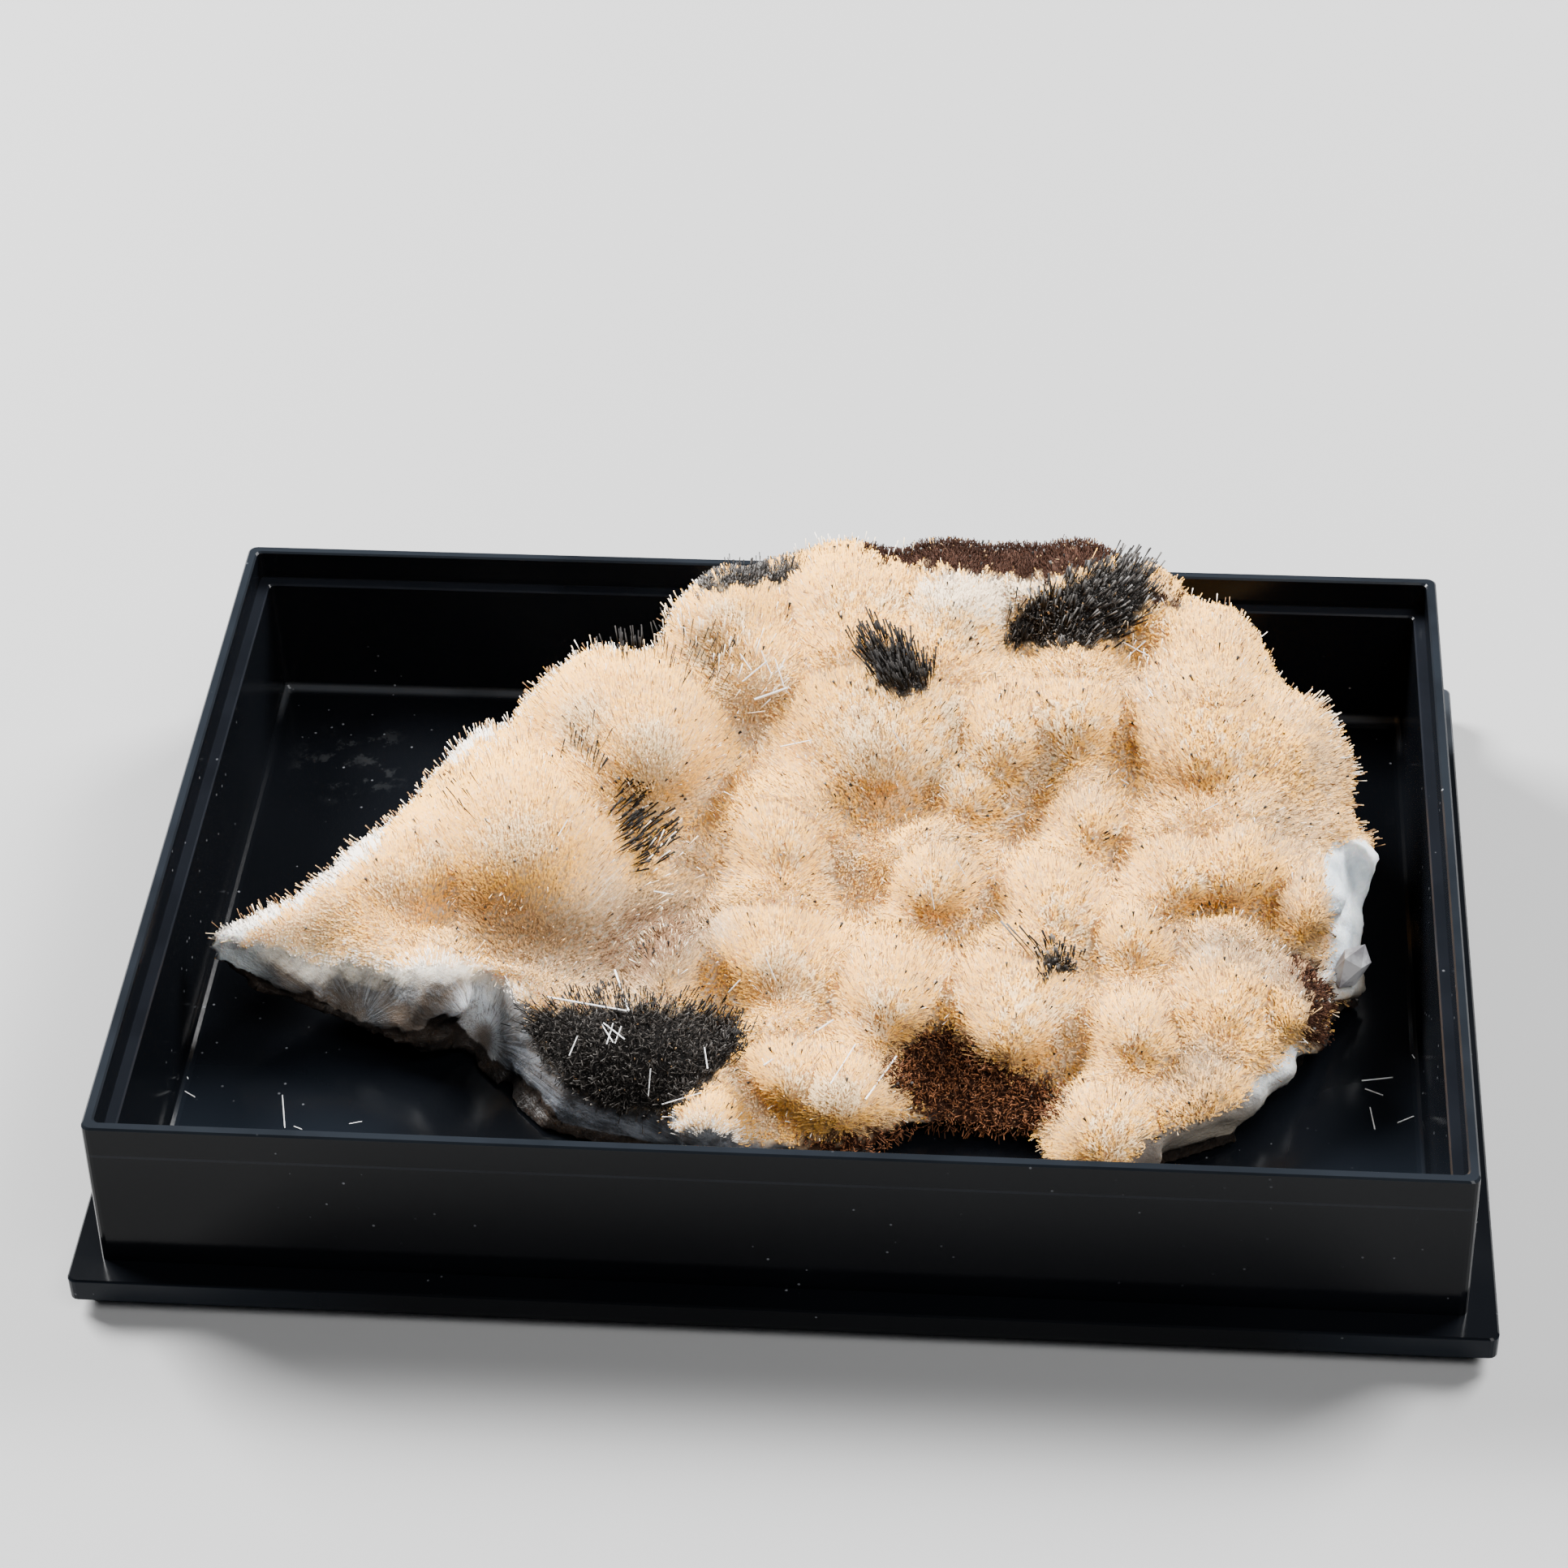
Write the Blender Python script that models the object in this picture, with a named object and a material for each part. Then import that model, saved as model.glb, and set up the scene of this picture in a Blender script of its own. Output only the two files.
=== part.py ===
"""Natrolite specimen in an open black display tray.

Metres, +Z up, origin at the middle of the tray's underside, -Y towards the viewer.
"""

import math

import bmesh
import bpy
from mathutils import Vector

MM = 0.001

# Tray, in millimetres
RIM_LENGTH = 110.0
RIM_DEPTH = 76.2
TRAY_HEIGHT = 18.6
WALL_HEIGHT = 15.0
FLANGE_REACH = 2.65
FLANGE_THICKNESS = 2.35
FOOT_INSET = 1.2
FOOT_WIDTH = 3.2
FLOOR_TOP = 3.2
FLOOR_THICKNESS = 2.0
LIP_WIDTH = 0.9
LEDGE_DROP = 3.05
LEDGE_WIDTH = 1.0
FLOOR_FILLET = 0.9
OUTER_CORNER = 0.7
INNER_CORNER = 0.5
CORNER_STEPS = 4
DRAFT = 0.25
EDGE = 0.15
RECESS_SLOPE = 0.5

# Specimen, in millimetres
REST_GAP = 0.3
REST_HEIGHT = FLOOR_TOP + REST_GAP
FACE_RISE = 0.36
FACE_HEIGHT = 13.2
UNDERSIDE_INSET = 4.0
FACE_INSET = 3.6
SIDE_INSET = 0.4
TAIL_START = -30.0
TAIL_TIP = -50.8
TAIL_LENGTH = 16.0
TAIL_FACE_RISE = 0.14
TAIL_UNDERSIDE_RISE = 0.25
FUSE_GRID = 0.9
ROUNDING_PASSES = 10
ROUNDING_LOSS = 0.25
TRIANGLE_SHARE = 0.22


def clear_scene():
    for item in list(bpy.data.objects):
        bpy.data.objects.remove(item, do_unlink=True)


def material(name, colour, roughness, metallic=0.0):
    mat = bpy.data.materials.new(name)
    mat.use_nodes = True
    shader = mat.node_tree.nodes["Principled BSDF"]
    shader.inputs["Base Color"].default_value = (*colour, 1.0)
    shader.inputs["Roughness"].default_value = roughness
    shader.inputs["Metallic"].default_value = metallic
    return mat


def add_object(name, bm, mat):
    bmesh.ops.recalc_face_normals(bm, faces=bm.faces[:])
    mesh = bpy.data.meshes.new(name)
    bm.to_mesh(mesh)
    bm.free()
    mesh.materials.append(mat)
    item = bpy.data.objects.new(name, mesh)
    bpy.context.collection.objects.link(item)
    return item


def rectangle(bm, length, depth, corner, z):
    """A ring of vertices round a rectangle with rounded corners."""
    ring = []
    for quarter, (sx, sy) in enumerate(((1, 1), (-1, 1), (-1, -1), (1, -1))):
        cx = sx * (length / 2 - corner)
        cy = sy * (depth / 2 - corner)
        for step in range(CORNER_STEPS + 1):
            turn = math.radians(90 * (quarter + step / CORNER_STEPS))
            x = cx + corner * math.cos(turn)
            y = cy + corner * math.sin(turn)
            ring.append(bm.verts.new((x * MM, y * MM, z * MM)))
    return ring


def join_rings(bm, lower, upper):
    count = len(lower)
    for i in range(count):
        j = (i + 1) % count
        bm.faces.new((lower[i], lower[j], upper[j], upper[i]))


# Display tray: one moulding, described by the rectangles its surface runs through
def build_tray():
    flange_top = TRAY_HEIGHT - WALL_HEIGHT
    flange_base = flange_top - FLANGE_THICKNESS
    recess_top = FLOOR_TOP - FLOOR_THICKNESS
    lip = 2 * LIP_WIDTH
    ledge = lip + 2 * LEDGE_WIDTH
    foot = 2 * (FLANGE_REACH - FOOT_INSET)
    flange = 2 * FLANGE_REACH
    recess = foot - 2 * FOOT_WIDTH
    floor = -ledge - 2 * DRAFT
    ledge_top = TRAY_HEIGHT - LEDGE_DROP
    # growth over the rim's size, corner radius, height
    section = [
        (recess - 2 * RECESS_SLOPE, INNER_CORNER, recess_top),
        (recess, INNER_CORNER, 0.0),
        (foot, OUTER_CORNER, 0.0),
        (foot, OUTER_CORNER, flange_base),
        (flange - 2 * EDGE, OUTER_CORNER, flange_base),
        (flange, OUTER_CORNER, flange_base + EDGE),
        (flange, OUTER_CORNER, flange_top - EDGE),
        (flange - 2 * EDGE, OUTER_CORNER, flange_top),
        (2 * DRAFT, OUTER_CORNER, flange_top),
        (0.0, OUTER_CORNER, TRAY_HEIGHT - EDGE),
        (-2 * EDGE, OUTER_CORNER, TRAY_HEIGHT),
        (2 * EDGE - lip, INNER_CORNER, TRAY_HEIGHT),
        (-lip, INNER_CORNER, TRAY_HEIGHT - EDGE),
        (-lip, INNER_CORNER, ledge_top),
        (2 * EDGE - ledge, INNER_CORNER, ledge_top),
        (-ledge, INNER_CORNER, ledge_top - EDGE),
        (floor, INNER_CORNER, FLOOR_TOP + FLOOR_FILLET),
    ]
    for step in range(1, CORNER_STEPS + 1):
        turn = math.radians(90 * step / CORNER_STEPS)
        inward = FLOOR_FILLET * (1 - math.cos(turn))
        height = FLOOR_TOP + FLOOR_FILLET * (1 - math.sin(turn))
        section.append((floor - 2 * inward, INNER_CORNER, height))
    bm = bmesh.new()
    rings = []
    for growth, corner, z in section:
        rings.append(rectangle(bm, RIM_LENGTH + growth, RIM_DEPTH + growth, corner, z))
    for lower, upper in zip(rings, rings[1:]):
        join_rings(bm, lower, upper)
    bm.faces.new(rings[0])
    bm.faces.new(rings[-1])
    black = material("black_styrene", (0.012, 0.013, 0.015), 0.18)
    return add_object("display_tray", bm, black)


# Needle sprays: middle of each ball and its radius, from the thin left end to the right
SPRAYS = {
    "tail": (
        (-49.9, -9.5, 11.9, 1.2),
        (-48.2, -9.1, 11.8, 2.0),
        (-44.8, -7.4, 11.4, 3.0),
        (-40.4, -4.6, 11.2, 4.4),
        (-37.0, -0.6, 11.4, 5.0),
    ),
    "big_left": (
        (-25.0, 5.0, 9.2, 11.2),
        (-28.0, 8.0, 9.5, 9.0),
        (-31.8, 3.2, 9.8, 7.6),
        (-22.0, 1.0, 8.0, 8.5),
        (-28.8, 11.4, 13.6, 5.0),
    ),
    "upper_left": (
        (-15.3, 15.3, 13.8, 10.0),
        (-20.0, 15.8, 16.2, 7.6),
    ),
    "back_left": (
        (-9.0, 23.4, 21.6, 6.0),
        (-4.3, 20.1, 18.3, 6.5),
        (-3.4, 27.0, 21.8, 4.6),
    ),
    "summit": (
        (5.2, 19.1, 12.9, 13.0),
        (1.9, 26.0, 20.7, 7.5),
        (10.7, 26.0, 21.4, 7.4),
    ),
    "back_tuft": (
        (22.6, 27.2, 22.4, 6.2),
        (28.5, 26.5, 21.6, 5.4),
        (16.8, 27.8, 21.8, 5.8),
    ),
    "centre_back": (
        (16.2, 16.0, 16.9, 7.0),
        (22.5, 17.2, 18.0, 6.2),
        (13.2, 11.0, 14.4, 6.0),
    ),
    "right_back": (
        (34.5, 18.0, 15.0, 9.8),
        (35.0, 21.8, 19.4, 6.6),
        (41.5, 14.2, 15.7, 7.0),
        (31.5, 23.4, 21.6, 4.2),
    ),
    "right": (
        (31.7, 3.8, 13.1, 5.6),
        (38.0, 5.4, 13.4, 6.0),
        (42.9, 1.9, 11.6, 6.0),
        (45.2, 7.0, 13.4, 4.4),
        (23.9, 8.0, 14.2, 5.0),
    ),
    "centre": (
        (-2.5, 5.0, 12.9, 6.3),
        (-2.6, -4.5, 8.2, 7.6),
        (10.8, 0.8, 12.9, 5.2),
        (21.3, -0.2, 12.0, 5.3),
        (28.0, -3.7, 11.3, 4.6),
        (7.1, -8.5, 8.2, 6.6),
        (-10.9, -8.2, 10.8, 3.4),
        (-11.6, 2.0, 10.6, 4.6),
        (-5.6, 11.4, 13.6, 4.8),
        (3.4, 3.0, 11.6, 4.2),
        (1.8, -9.8, 9.0, 4.0),
    ),
    "right_front": (
        (18.2, -8.6, 6.9, 8.0),
        (36.1, -8.3, 8.0, 7.2),
        (41.4, -9.6, 9.0, 4.8),
        (28.6, -12.2, 7.4, 5.8),
        (34.7, -16.5, 6.2, 5.2),
        (26.4, -21.0, 5.6, 5.0),
        (31.0, -20.4, 5.4, 4.2),
    ),
    "side_chip": (
        (47.0, -3.0, 5.4, 1.9),
        (46.8, -2.6, 7.6, 1.5),
    ),
    "front": (
        (4.2, -18.3, 6.4, 4.8),
        (-1.0, -16.1, 7.4, 4.4),
        (-7.0, -22.6, 5.6, 3.4),
        (-13.6, -14.8, 4.8, 7.8),
        (-19.2, -14.4, 4.0, 7.4),
        (-9.4, -16.6, 3.6, 6.6),
    ),
    "left_ridge": (
        (-31.5, -10.2, 8.8, 5.0),
        (-24.8, -12.6, 8.8, 4.2),
        (-37.0, -8.0, 9.2, 4.4),
    ),
}

# Outline of the plate the sprays stand on, seen from above
OUTLINE = (
    (TAIL_TIP, -10.2), (-46.0, -6.0), (-41.0, -1.6), (-37.4, 3.4), (-34.6, 8.0),
    (-30.0, 12.0), (-25.6, 15.6), (-22.0, 19.6), (-15.0, 23.4), (-9.0, 27.6),
    (-3.0, 30.8), (3.0, 32.2), (12.0, 32.8), (20.0, 32.8), (27.0, 31.4),
    (32.0, 29.0), (37.0, 27.0), (42.0, 22.0), (46.0, 16.0), (48.4, 9.0),
    (49.0, 3.0), (48.0, -3.0), (46.4, -9.0), (45.2, -14.4), (40.6, -19.6),
    (37.4, -22.4), (33.6, -25.2), (27.0, -26.8), (21.6, -26.2), (18.6, -22.6),
    (12.8, -21.8), (7.6, -25.2), (2.0, -26.6), (-6.0, -26.8), (-12.0, -26.2),
    (-18.4, -24.4), (-23.0, -20.4), (-29.0, -17.6), (-36.0, -16.0),
    (-42.0, -14.4), (-47.2, -12.8),
)

# Broken surfaces: name, a spot on each, the way it faces, width, height and depth removed
BREAKS = (
    ("underside_cut", (0.0, 0.0, REST_HEIGHT), (0.0, 0.0, -1.0), 120.0, 90.0, 20.0),
    ("left_front", (-35.6, -13.4, 9.0), (-0.34, -0.86, 0.38), 10.0, 18.0, 8.0),
    ("left_front_middle", (-29.2, -14.9, 8.2), (0.05, -0.93, 0.36), 10.0, 18.0, 8.0),
    ("beside_front_tuft", (-21.4, -18.5, 7.5), (-0.68, -0.58, 0.46), 18.0, 16.0, 8.0),
    ("below_front_tuft", (-14.9, -22.9, 5.8), (-0.25, -0.94, 0.22), 13.0, 10.0, 6.0),
    ("tail_front", (-44.8, -11.4, 10.8), (-0.24, -0.93, 0.27), 12.0, 10.0, 6.0),
    ("right_corner", (47.6, 2.0, 14.3), (0.81, -0.45, 0.38), 14.0, 11.0, 6.0),
    ("right_edge", (46.2, -4.0, 11.0), (0.93, -0.16, 0.33), 16.0, 18.0, 6.0),
    ("right_below", (42.0, -14.8, 8.6), (0.58, -0.69, -0.43), 14.0, 12.0, 6.0),
    ("front_below", (34.8, -21.8, 6.3), (0.43, -0.88, -0.21), 9.0, 10.0, 6.0),
)


def plate_ring(bm, inset, height_at):
    """The outline drawn in towards its middle line, at a height that varies along it."""
    ring = []
    count = len(OUTLINE)
    for i in range(count):
        before = Vector(OUTLINE[i - 1])
        here = Vector(OUTLINE[i])
        after = Vector(OUTLINE[(i + 1) % count])
        along = (after - before).normalized()
        inward = Vector((along.y, -along.x))
        # the thin left end has less width to give up
        room = min(1.0, 0.25 + (here.x - TAIL_TIP) / TAIL_LENGTH)
        spot = here + inward * inset * room
        ring.append(bm.verts.new((spot.x * MM, spot.y * MM, height_at(spot) * MM)))
    return ring


def underside(spot):
    """Height of the underside: flat where it rests, rising under the left end and rim."""
    tail = max(0.0, TAIL_START - spot.x)
    return REST_HEIGHT + tail * TAIL_UNDERSIDE_RISE


def plate_face(spot):
    """Height of the plate's upper face, which leans towards the viewer."""
    tail = max(0.0, TAIL_START - spot.x)
    return FACE_HEIGHT + FACE_RISE * spot.y + tail * TAIL_FACE_RISE


def add_plate(bm):
    rings = [
        plate_ring(bm, UNDERSIDE_INSET, underside),
        plate_ring(bm, 3 * SIDE_INSET, lambda s: underside(s) + 1.0),
        plate_ring(bm, SIDE_INSET, lambda s: underside(s) * 0.6 + plate_face(s) * 0.4),
        plate_ring(bm, FACE_INSET - 2.2, lambda s: plate_face(s) - 1.4),
        plate_ring(bm, FACE_INSET, plate_face),
    ]
    for lower, upper in zip(rings, rings[1:]):
        join_rings(bm, lower, upper)
    bm.faces.new(rings[0])
    bm.faces.new(rings[-1])


def add_ball(bm, x, y, z, radius):
    size = (radius + ROUNDING_LOSS) * MM
    made = bmesh.ops.create_icosphere(bm, subdivisions=3, radius=size)
    bmesh.ops.translate(bm, verts=made["verts"], vec=Vector((x, y, z)) * MM)


def break_block(name, spot, outward, width, height, reach):
    """A hidden block with one face on a broken surface, to take off what is beyond it."""
    bm = bmesh.new()
    bmesh.ops.create_cube(bm, size=1.0)
    bmesh.ops.scale(bm, vec=Vector((width, height, reach)) * MM, verts=bm.verts[:])
    bmesh.ops.translate(bm, vec=Vector((0, 0, reach / 2)) * MM, verts=bm.verts[:])
    item = add_object(name, bm, bpy.data.materials["natrolite"])
    item.rotation_mode = "QUATERNION"
    item.rotation_quaternion = Vector(outward).to_track_quat("Z", "Y")
    item.location = Vector(spot) * MM
    item.hide_render = True
    item.display_type = "WIRE"
    return item


def build_specimen():
    bm = bmesh.new()
    add_plate(bm)
    for group in SPRAYS.values():
        for x, y, z, radius in group:
            add_ball(bm, x, y, z, radius)
    cream = material("natrolite", (0.78, 0.62, 0.43), 0.7)
    item = add_object("natrolite", bm, cream)
    fuse = item.modifiers.new("grown_together", "REMESH")
    fuse.mode = "VOXEL"
    fuse.voxel_size = FUSE_GRID * MM
    soften = item.modifiers.new("soft_valleys", "SMOOTH")
    soften.factor = 0.5
    soften.iterations = ROUNDING_PASSES
    thin = item.modifiers.new("fewer_facets", "DECIMATE")
    thin.ratio = TRIANGLE_SHARE
    for name, spot, outward, width, height, reach in BREAKS:
        block = break_block(name, spot, outward, width, height, reach)
        cut = item.modifiers.new(name, "BOOLEAN")
        cut.operation = "DIFFERENCE"
        cut.solver = "EXACT"
        cut.object = block
    return item


def main():
    clear_scene()
    build_tray()
    build_specimen()


main()
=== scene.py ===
"""Natrolite specimen lying in an open black display tray: its looks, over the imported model.

Names that end in MM are in millimetres, and so are the points of the specimen and its needles while
they are worked out. The rest is in metres. +Z is up and -Y faces the viewer.
"""

import math

import bpy
import numpy as np
from mathutils import Matrix, Vector, noise
from mathutils.bvhtree import BVHTree


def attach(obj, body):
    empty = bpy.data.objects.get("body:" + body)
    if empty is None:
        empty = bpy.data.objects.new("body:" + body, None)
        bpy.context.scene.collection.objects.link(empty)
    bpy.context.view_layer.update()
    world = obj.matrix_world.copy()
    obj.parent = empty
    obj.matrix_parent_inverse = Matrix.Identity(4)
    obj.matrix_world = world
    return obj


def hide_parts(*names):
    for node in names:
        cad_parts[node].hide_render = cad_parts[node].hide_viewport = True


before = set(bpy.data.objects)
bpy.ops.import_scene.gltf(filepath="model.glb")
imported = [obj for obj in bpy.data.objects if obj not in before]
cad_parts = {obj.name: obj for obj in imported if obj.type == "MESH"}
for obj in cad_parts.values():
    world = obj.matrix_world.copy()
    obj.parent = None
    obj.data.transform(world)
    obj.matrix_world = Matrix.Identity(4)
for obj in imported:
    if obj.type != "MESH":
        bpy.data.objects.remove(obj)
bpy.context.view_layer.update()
scene = bpy.context.scene


# Camera: it stands in front of the tray, a little to the right, and looks about 40 degrees down.
# Its place, turn and lens were worked out from the corners of the tray in the photograph.
MM = 0.001
PHOTO_PX = 1932
FOCAL_PX = 4920.6
SENSOR_MM = 36.0
CAMERA_MM = Vector((23.182, -254.848, 243.810))
CAMERA_RIGHT = Vector((0.996758, 0.076699, -0.024304))
CAMERA_UP = Vector((-0.031586, 0.650848, 0.758551))
CAMERA_BACK = Vector((0.073998, -0.755324, 0.651161))

lens = bpy.data.cameras.new("photo_lens")
lens.sensor_width = SENSOR_MM
lens.lens = FOCAL_PX * SENSOR_MM / PHOTO_PX
lens.clip_start = 0.01
lens.clip_end = 20.0
camera = bpy.data.objects.new("photo_camera", lens)
turn = Matrix((CAMERA_RIGHT, CAMERA_UP, CAMERA_BACK)).transposed().to_4x4()
camera.matrix_world = Matrix.Translation(CAMERA_MM * MM) @ turn
scene.collection.objects.link(camera)
scene.camera = camera


# Display tray: one injection moulding of glossy black polystyrene, with a stepped rim for its lid.
# The CAD solid has its true shape, so it stays and gets a polished, lightly handled surface.
class Wire:
    """One socket of a material. Arithmetic on it adds Math nodes."""

    def __init__(self, tree, socket=None):
        self.tree = tree
        self.socket = socket

    def node(self, kind, output, settings=None, stops=None, **inputs):
        """One output of a new node. An input is given by its name, or as i0, i1 and so on by its place."""
        made = self.tree.nodes.new(kind)
        for name, value in (settings or {}).items():
            setattr(made, name, value)
        if stops:
            ramp = made.color_ramp
            while len(ramp.elements) < len(stops):
                ramp.elements.new(0.5)
            for element, (position, colour) in zip(ramp.elements, stops):
                element.position = position
                element.color = (*colour, 1.0)
        for name, value in inputs.items():
            socket = made.inputs[int(name[1:])] if name[1:].isdigit() else made.inputs[name.replace("_", " ")]
            if isinstance(value, Wire):
                self.tree.links.new(value.socket, socket)
            else:
                socket.default_value = (*value, 1.0) if socket.type == "RGBA" else value
        return Wire(self.tree, made.outputs[output])

    def maths(self, operation, first, second):
        return self.node("ShaderNodeMath", 0, {"operation": operation}, i0=first, i1=second)

    def __add__(self, other):
        return self.maths("ADD", self, other)

    def __radd__(self, other):
        return self.maths("ADD", other, self)

    def __sub__(self, other):
        return self.maths("SUBTRACT", self, other)

    def __rsub__(self, other):
        return self.maths("SUBTRACT", other, self)

    def __mul__(self, other):
        return self.maths("MULTIPLY", self, other)

    def between(self, low, high):
        """0 below low, 1 above high, and smooth between them."""
        settings = {"interpolation_type": "SMOOTHSTEP"}
        return self.node("ShaderNodeMapRange", 0, settings, Value=self, From_Min=low, From_Max=high)

    def mix(self, factor, first, second):
        """The first colour at factor 0 and the second at 1."""
        return self.node("ShaderNodeMix", 2, {"data_type": "RGBA"}, i0=factor, i6=first, i7=second)

    def place(self):
        return self.node("ShaderNodeTexCoord", "Object")

    def part(self, letter, vector=None):
        """One coordinate, X, Y or Z, of a vector or else of the place on the object."""
        return self.node("ShaderNodeSeparateXYZ", letter, Vector=vector or self.place())

    def noise(self, scale, detail, roughness, vector=None):
        """Even noise from 0 to 1, with scale in waves per metre."""
        inputs = {"Vector": vector or self.place(), "Scale": scale, "Detail": detail, "Roughness": roughness}
        return self.node("ShaderNodeTexNoise", 0, **inputs)


def new_material(name, fixed):
    """A material with one Principled shader, the fixed values on its sockets, and a wire for its tree."""
    made = bpy.data.materials.new(name)
    made.use_nodes = True
    shader = made.node_tree.nodes["Principled BSDF"]
    for socket, value in fixed.items():
        shader.inputs[socket].default_value = value
    return made, shader, Wire(made.node_tree)


def feed(shader, name, wire):
    wire.tree.links.new(wire.socket, shader.inputs[name])


TRAY_FLOOR_MM = 3.2
# Middle of a dried residue behind the left end, in metres
RESIDUE = (-0.0445, 0.0255, TRAY_FLOOR_MM * MM)
black_styrene, shader, wire = new_material("black_styrene", {"IOR": 1.55, "Specular IOR Level": 0.11})
smudge = wire.noise(60.0, 3.0, 0.6).between(0.45, 0.75)
haze = wire.noise(28.0, 2.0, 0.5).between(0.35, 0.75)
speck = wire.node("ShaderNodeTexVoronoi", 0, Vector=wire.place(), Scale=620.0)
sparse = wire.noise(45.0, 2.0, 0.6).between(0.5, 0.62)
dust = (1.0 - speck.between(0.045, 0.09)) * sparse
grey = wire.mix(haze * 0.6, (0.0020, 0.0024, 0.0032), (0.0038, 0.0045, 0.0060))
across = wire.part("X")
inward = wire.part("Y")
tall = wire.part("Z")
# painted highlights along the edges, where light would catch them: the rim, the ledge for the lid, and the
# rounding at the foot of the back wall, broken up by noise
rim = tall.between(0.01835, 0.01850)
ledge = tall.between(0.01538, 0.01545) * (1.0 - tall.between(0.01560, 0.01575))
rounding = tall.between(0.0032, 0.0035) * (1.0 - tall.between(0.0036, 0.0041)) * inward.between(0.030, 0.034)
glint_breakup = wire.noise(95.0, 3.0, 0.6).between(0.25, 0.6) * 0.5 + 0.5
grey = wire.mix(rim * glint_breakup, grey, (0.0085, 0.0105, 0.0135))
grey = wire.mix(ledge * glint_breakup, grey, (0.009, 0.0105, 0.014))
grey = wire.mix(rounding * glint_breakup, grey, (0.030, 0.034, 0.040))
# a painted reflection of the light on its floor, in front at the left and at the right
floor_reflection = (1.0 - tall.between(0.0033, 0.0036)) * (1.0 - inward.between(-0.030, -0.004))
floor_reflection = floor_reflection * ((1.0 - across.between(-0.046, -0.028)) + across.between(0.038, 0.047))
grey = wire.mix(floor_reflection * 0.8, grey, (0.0085, 0.0115, 0.0165))
apart = wire.node("ShaderNodeVectorMath", "Value", {"operation": "DISTANCE"}, i0=wire.place(), i1=RESIDUE)
residue = (1.0 - apart.between(0.003, 0.007)) * wire.noise(420.0, 4.0, 0.7).between(0.52, 0.66)
grey = wire.mix(residue * 0.35, grey, (0.030, 0.032, 0.034))
feed(shader, "Base Color", wire.mix(dust * 0.55, grey, (0.22, 0.23, 0.25)))
feed(shader, "Roughness", 0.15 + smudge * 0.06 + dust * 0.4)
ripple = wire.noise(140.0, 2.0, 0.4) * 0.6 + wire.noise(900.0, 2.0, 0.6) * 0.06
feed(shader, "Normal", wire.node("ShaderNodeBump", 0, Height=ripple, Strength=0.12, Distance=0.0006))
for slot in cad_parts["display_tray"].material_slots:
    slot.material = black_styrene


# Natrolite body: the plate of intergrown sprays under the velvet of needle ends, with its broken edges.
# It is the CAD solid, evened out, and sunk by the length of the needle ends where they stand.
SKIN_GRID_MM = 0.5
SKIN_PASSES = 10
BROAD_PASSES = 140
VELVET_MM = 0.55
# The ball under each dome, as a share of its spray's reach, and how low it may come
BALL_SHARE = 0.72
BALL_FOOT_MM = 3.6
# How much deeper the hollows get and how much higher the domes, up to the height where none is raised
VALLEY_SHARE = 0.5
VALLEY_LIMIT_MM = 1.2
DOME_SHARE = 0.25
DOME_LIMIT_MM = 0.4
DOME_TOP_MM = 27.5
# The way out of the back of the left half
BACKWARD = (-0.62, 0.62, 0.25)
# What an outline gives for a point that the photograph doesn't show
UNSEEN = -99.0
TAIL_X_MM = -30.0
TAIL_LENGTH_MM = 21.0
UNDERSIDE_Z_MM = 4.6
# Middles and radii of small lumps at the right end of the front
EDGE_LUMPS_MM = ((38.4, -13.8, 7.9, 4.2), (36.4, -16.9, 7.4, 3.7), (42.3, -9.6, 7.6, 3.6))
# Outlines of patches on the specimen, by where the photograph shows them
FRONT_TUFT = (
    (640, 1262), (655, 1243), (700, 1236), (760, 1232), (830, 1236), (880, 1246), (905, 1260), (918, 1275),
    (905, 1300), (882, 1325), (850, 1352), (815, 1372), (785, 1378), (740, 1368), (700, 1345), (668, 1315),
)
BACK_TUFT = (
    (1237, 790), (1245, 765), (1262, 742), (1290, 725), (1320, 712), (1345, 700), (1370, 688), (1400, 690),
    (1420, 706), (1424, 730), (1410, 755), (1395, 775), (1375, 790), (1340, 797), (1300, 795), (1265, 797),
)
CENTRE_TUFT = (
    (1060, 802), (1068, 790), (1085, 785), (1105, 793), (1128, 806), (1144, 822), (1146, 840), (1138, 852),
    (1118, 858), (1098, 850), (1082, 836), (1070, 820),
)
SMALL_TUFT = (
    (1282, 1168), (1296, 1169), (1312, 1176), (1325, 1188), (1318, 1201), (1302, 1199), (1288, 1187),
)
DARK_RIM = (
    (855, 732), (868, 708), (895, 698), (940, 688), (988, 690), (975, 712), (940, 718), (900, 720),
)
RUST_RIM = (
    (1060, 655), (1160, 655), (1300, 655), (1400, 655), (1402, 684), (1370, 690), (1335, 702), (1300, 712),
    (1262, 712), (1225, 707), (1180, 702), (1130, 696), (1090, 690), (1068, 680),
)
RUST_HOLLOW = (
    (1092, 1318), (1110, 1292), (1135, 1275), (1160, 1262), (1185, 1278), (1210, 1300), (1250, 1318),
    (1290, 1325), (1306, 1345), (1300, 1375), (1275, 1395), (1262, 1425), (1240, 1440), (1130, 1440),
    (1140, 1385), (1120, 1352), (1098, 1335),
)
RUST_SIDE = (
    (1594, 1176), (1622, 1188), (1645, 1212), (1658, 1240), (1660, 1290), (1640, 1306), (1618, 1302),
    (1611, 1262), (1614, 1228), (1598, 1200),
)
RUST_FOOT = ((985, 1408), (1040, 1398), (1100, 1388), (1135, 1380), (1110, 1430), (980, 1430))
ORANGE_SPOT = ((1408, 728), (1430, 722), (1462, 730), (1455, 742), (1425, 745))
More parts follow.
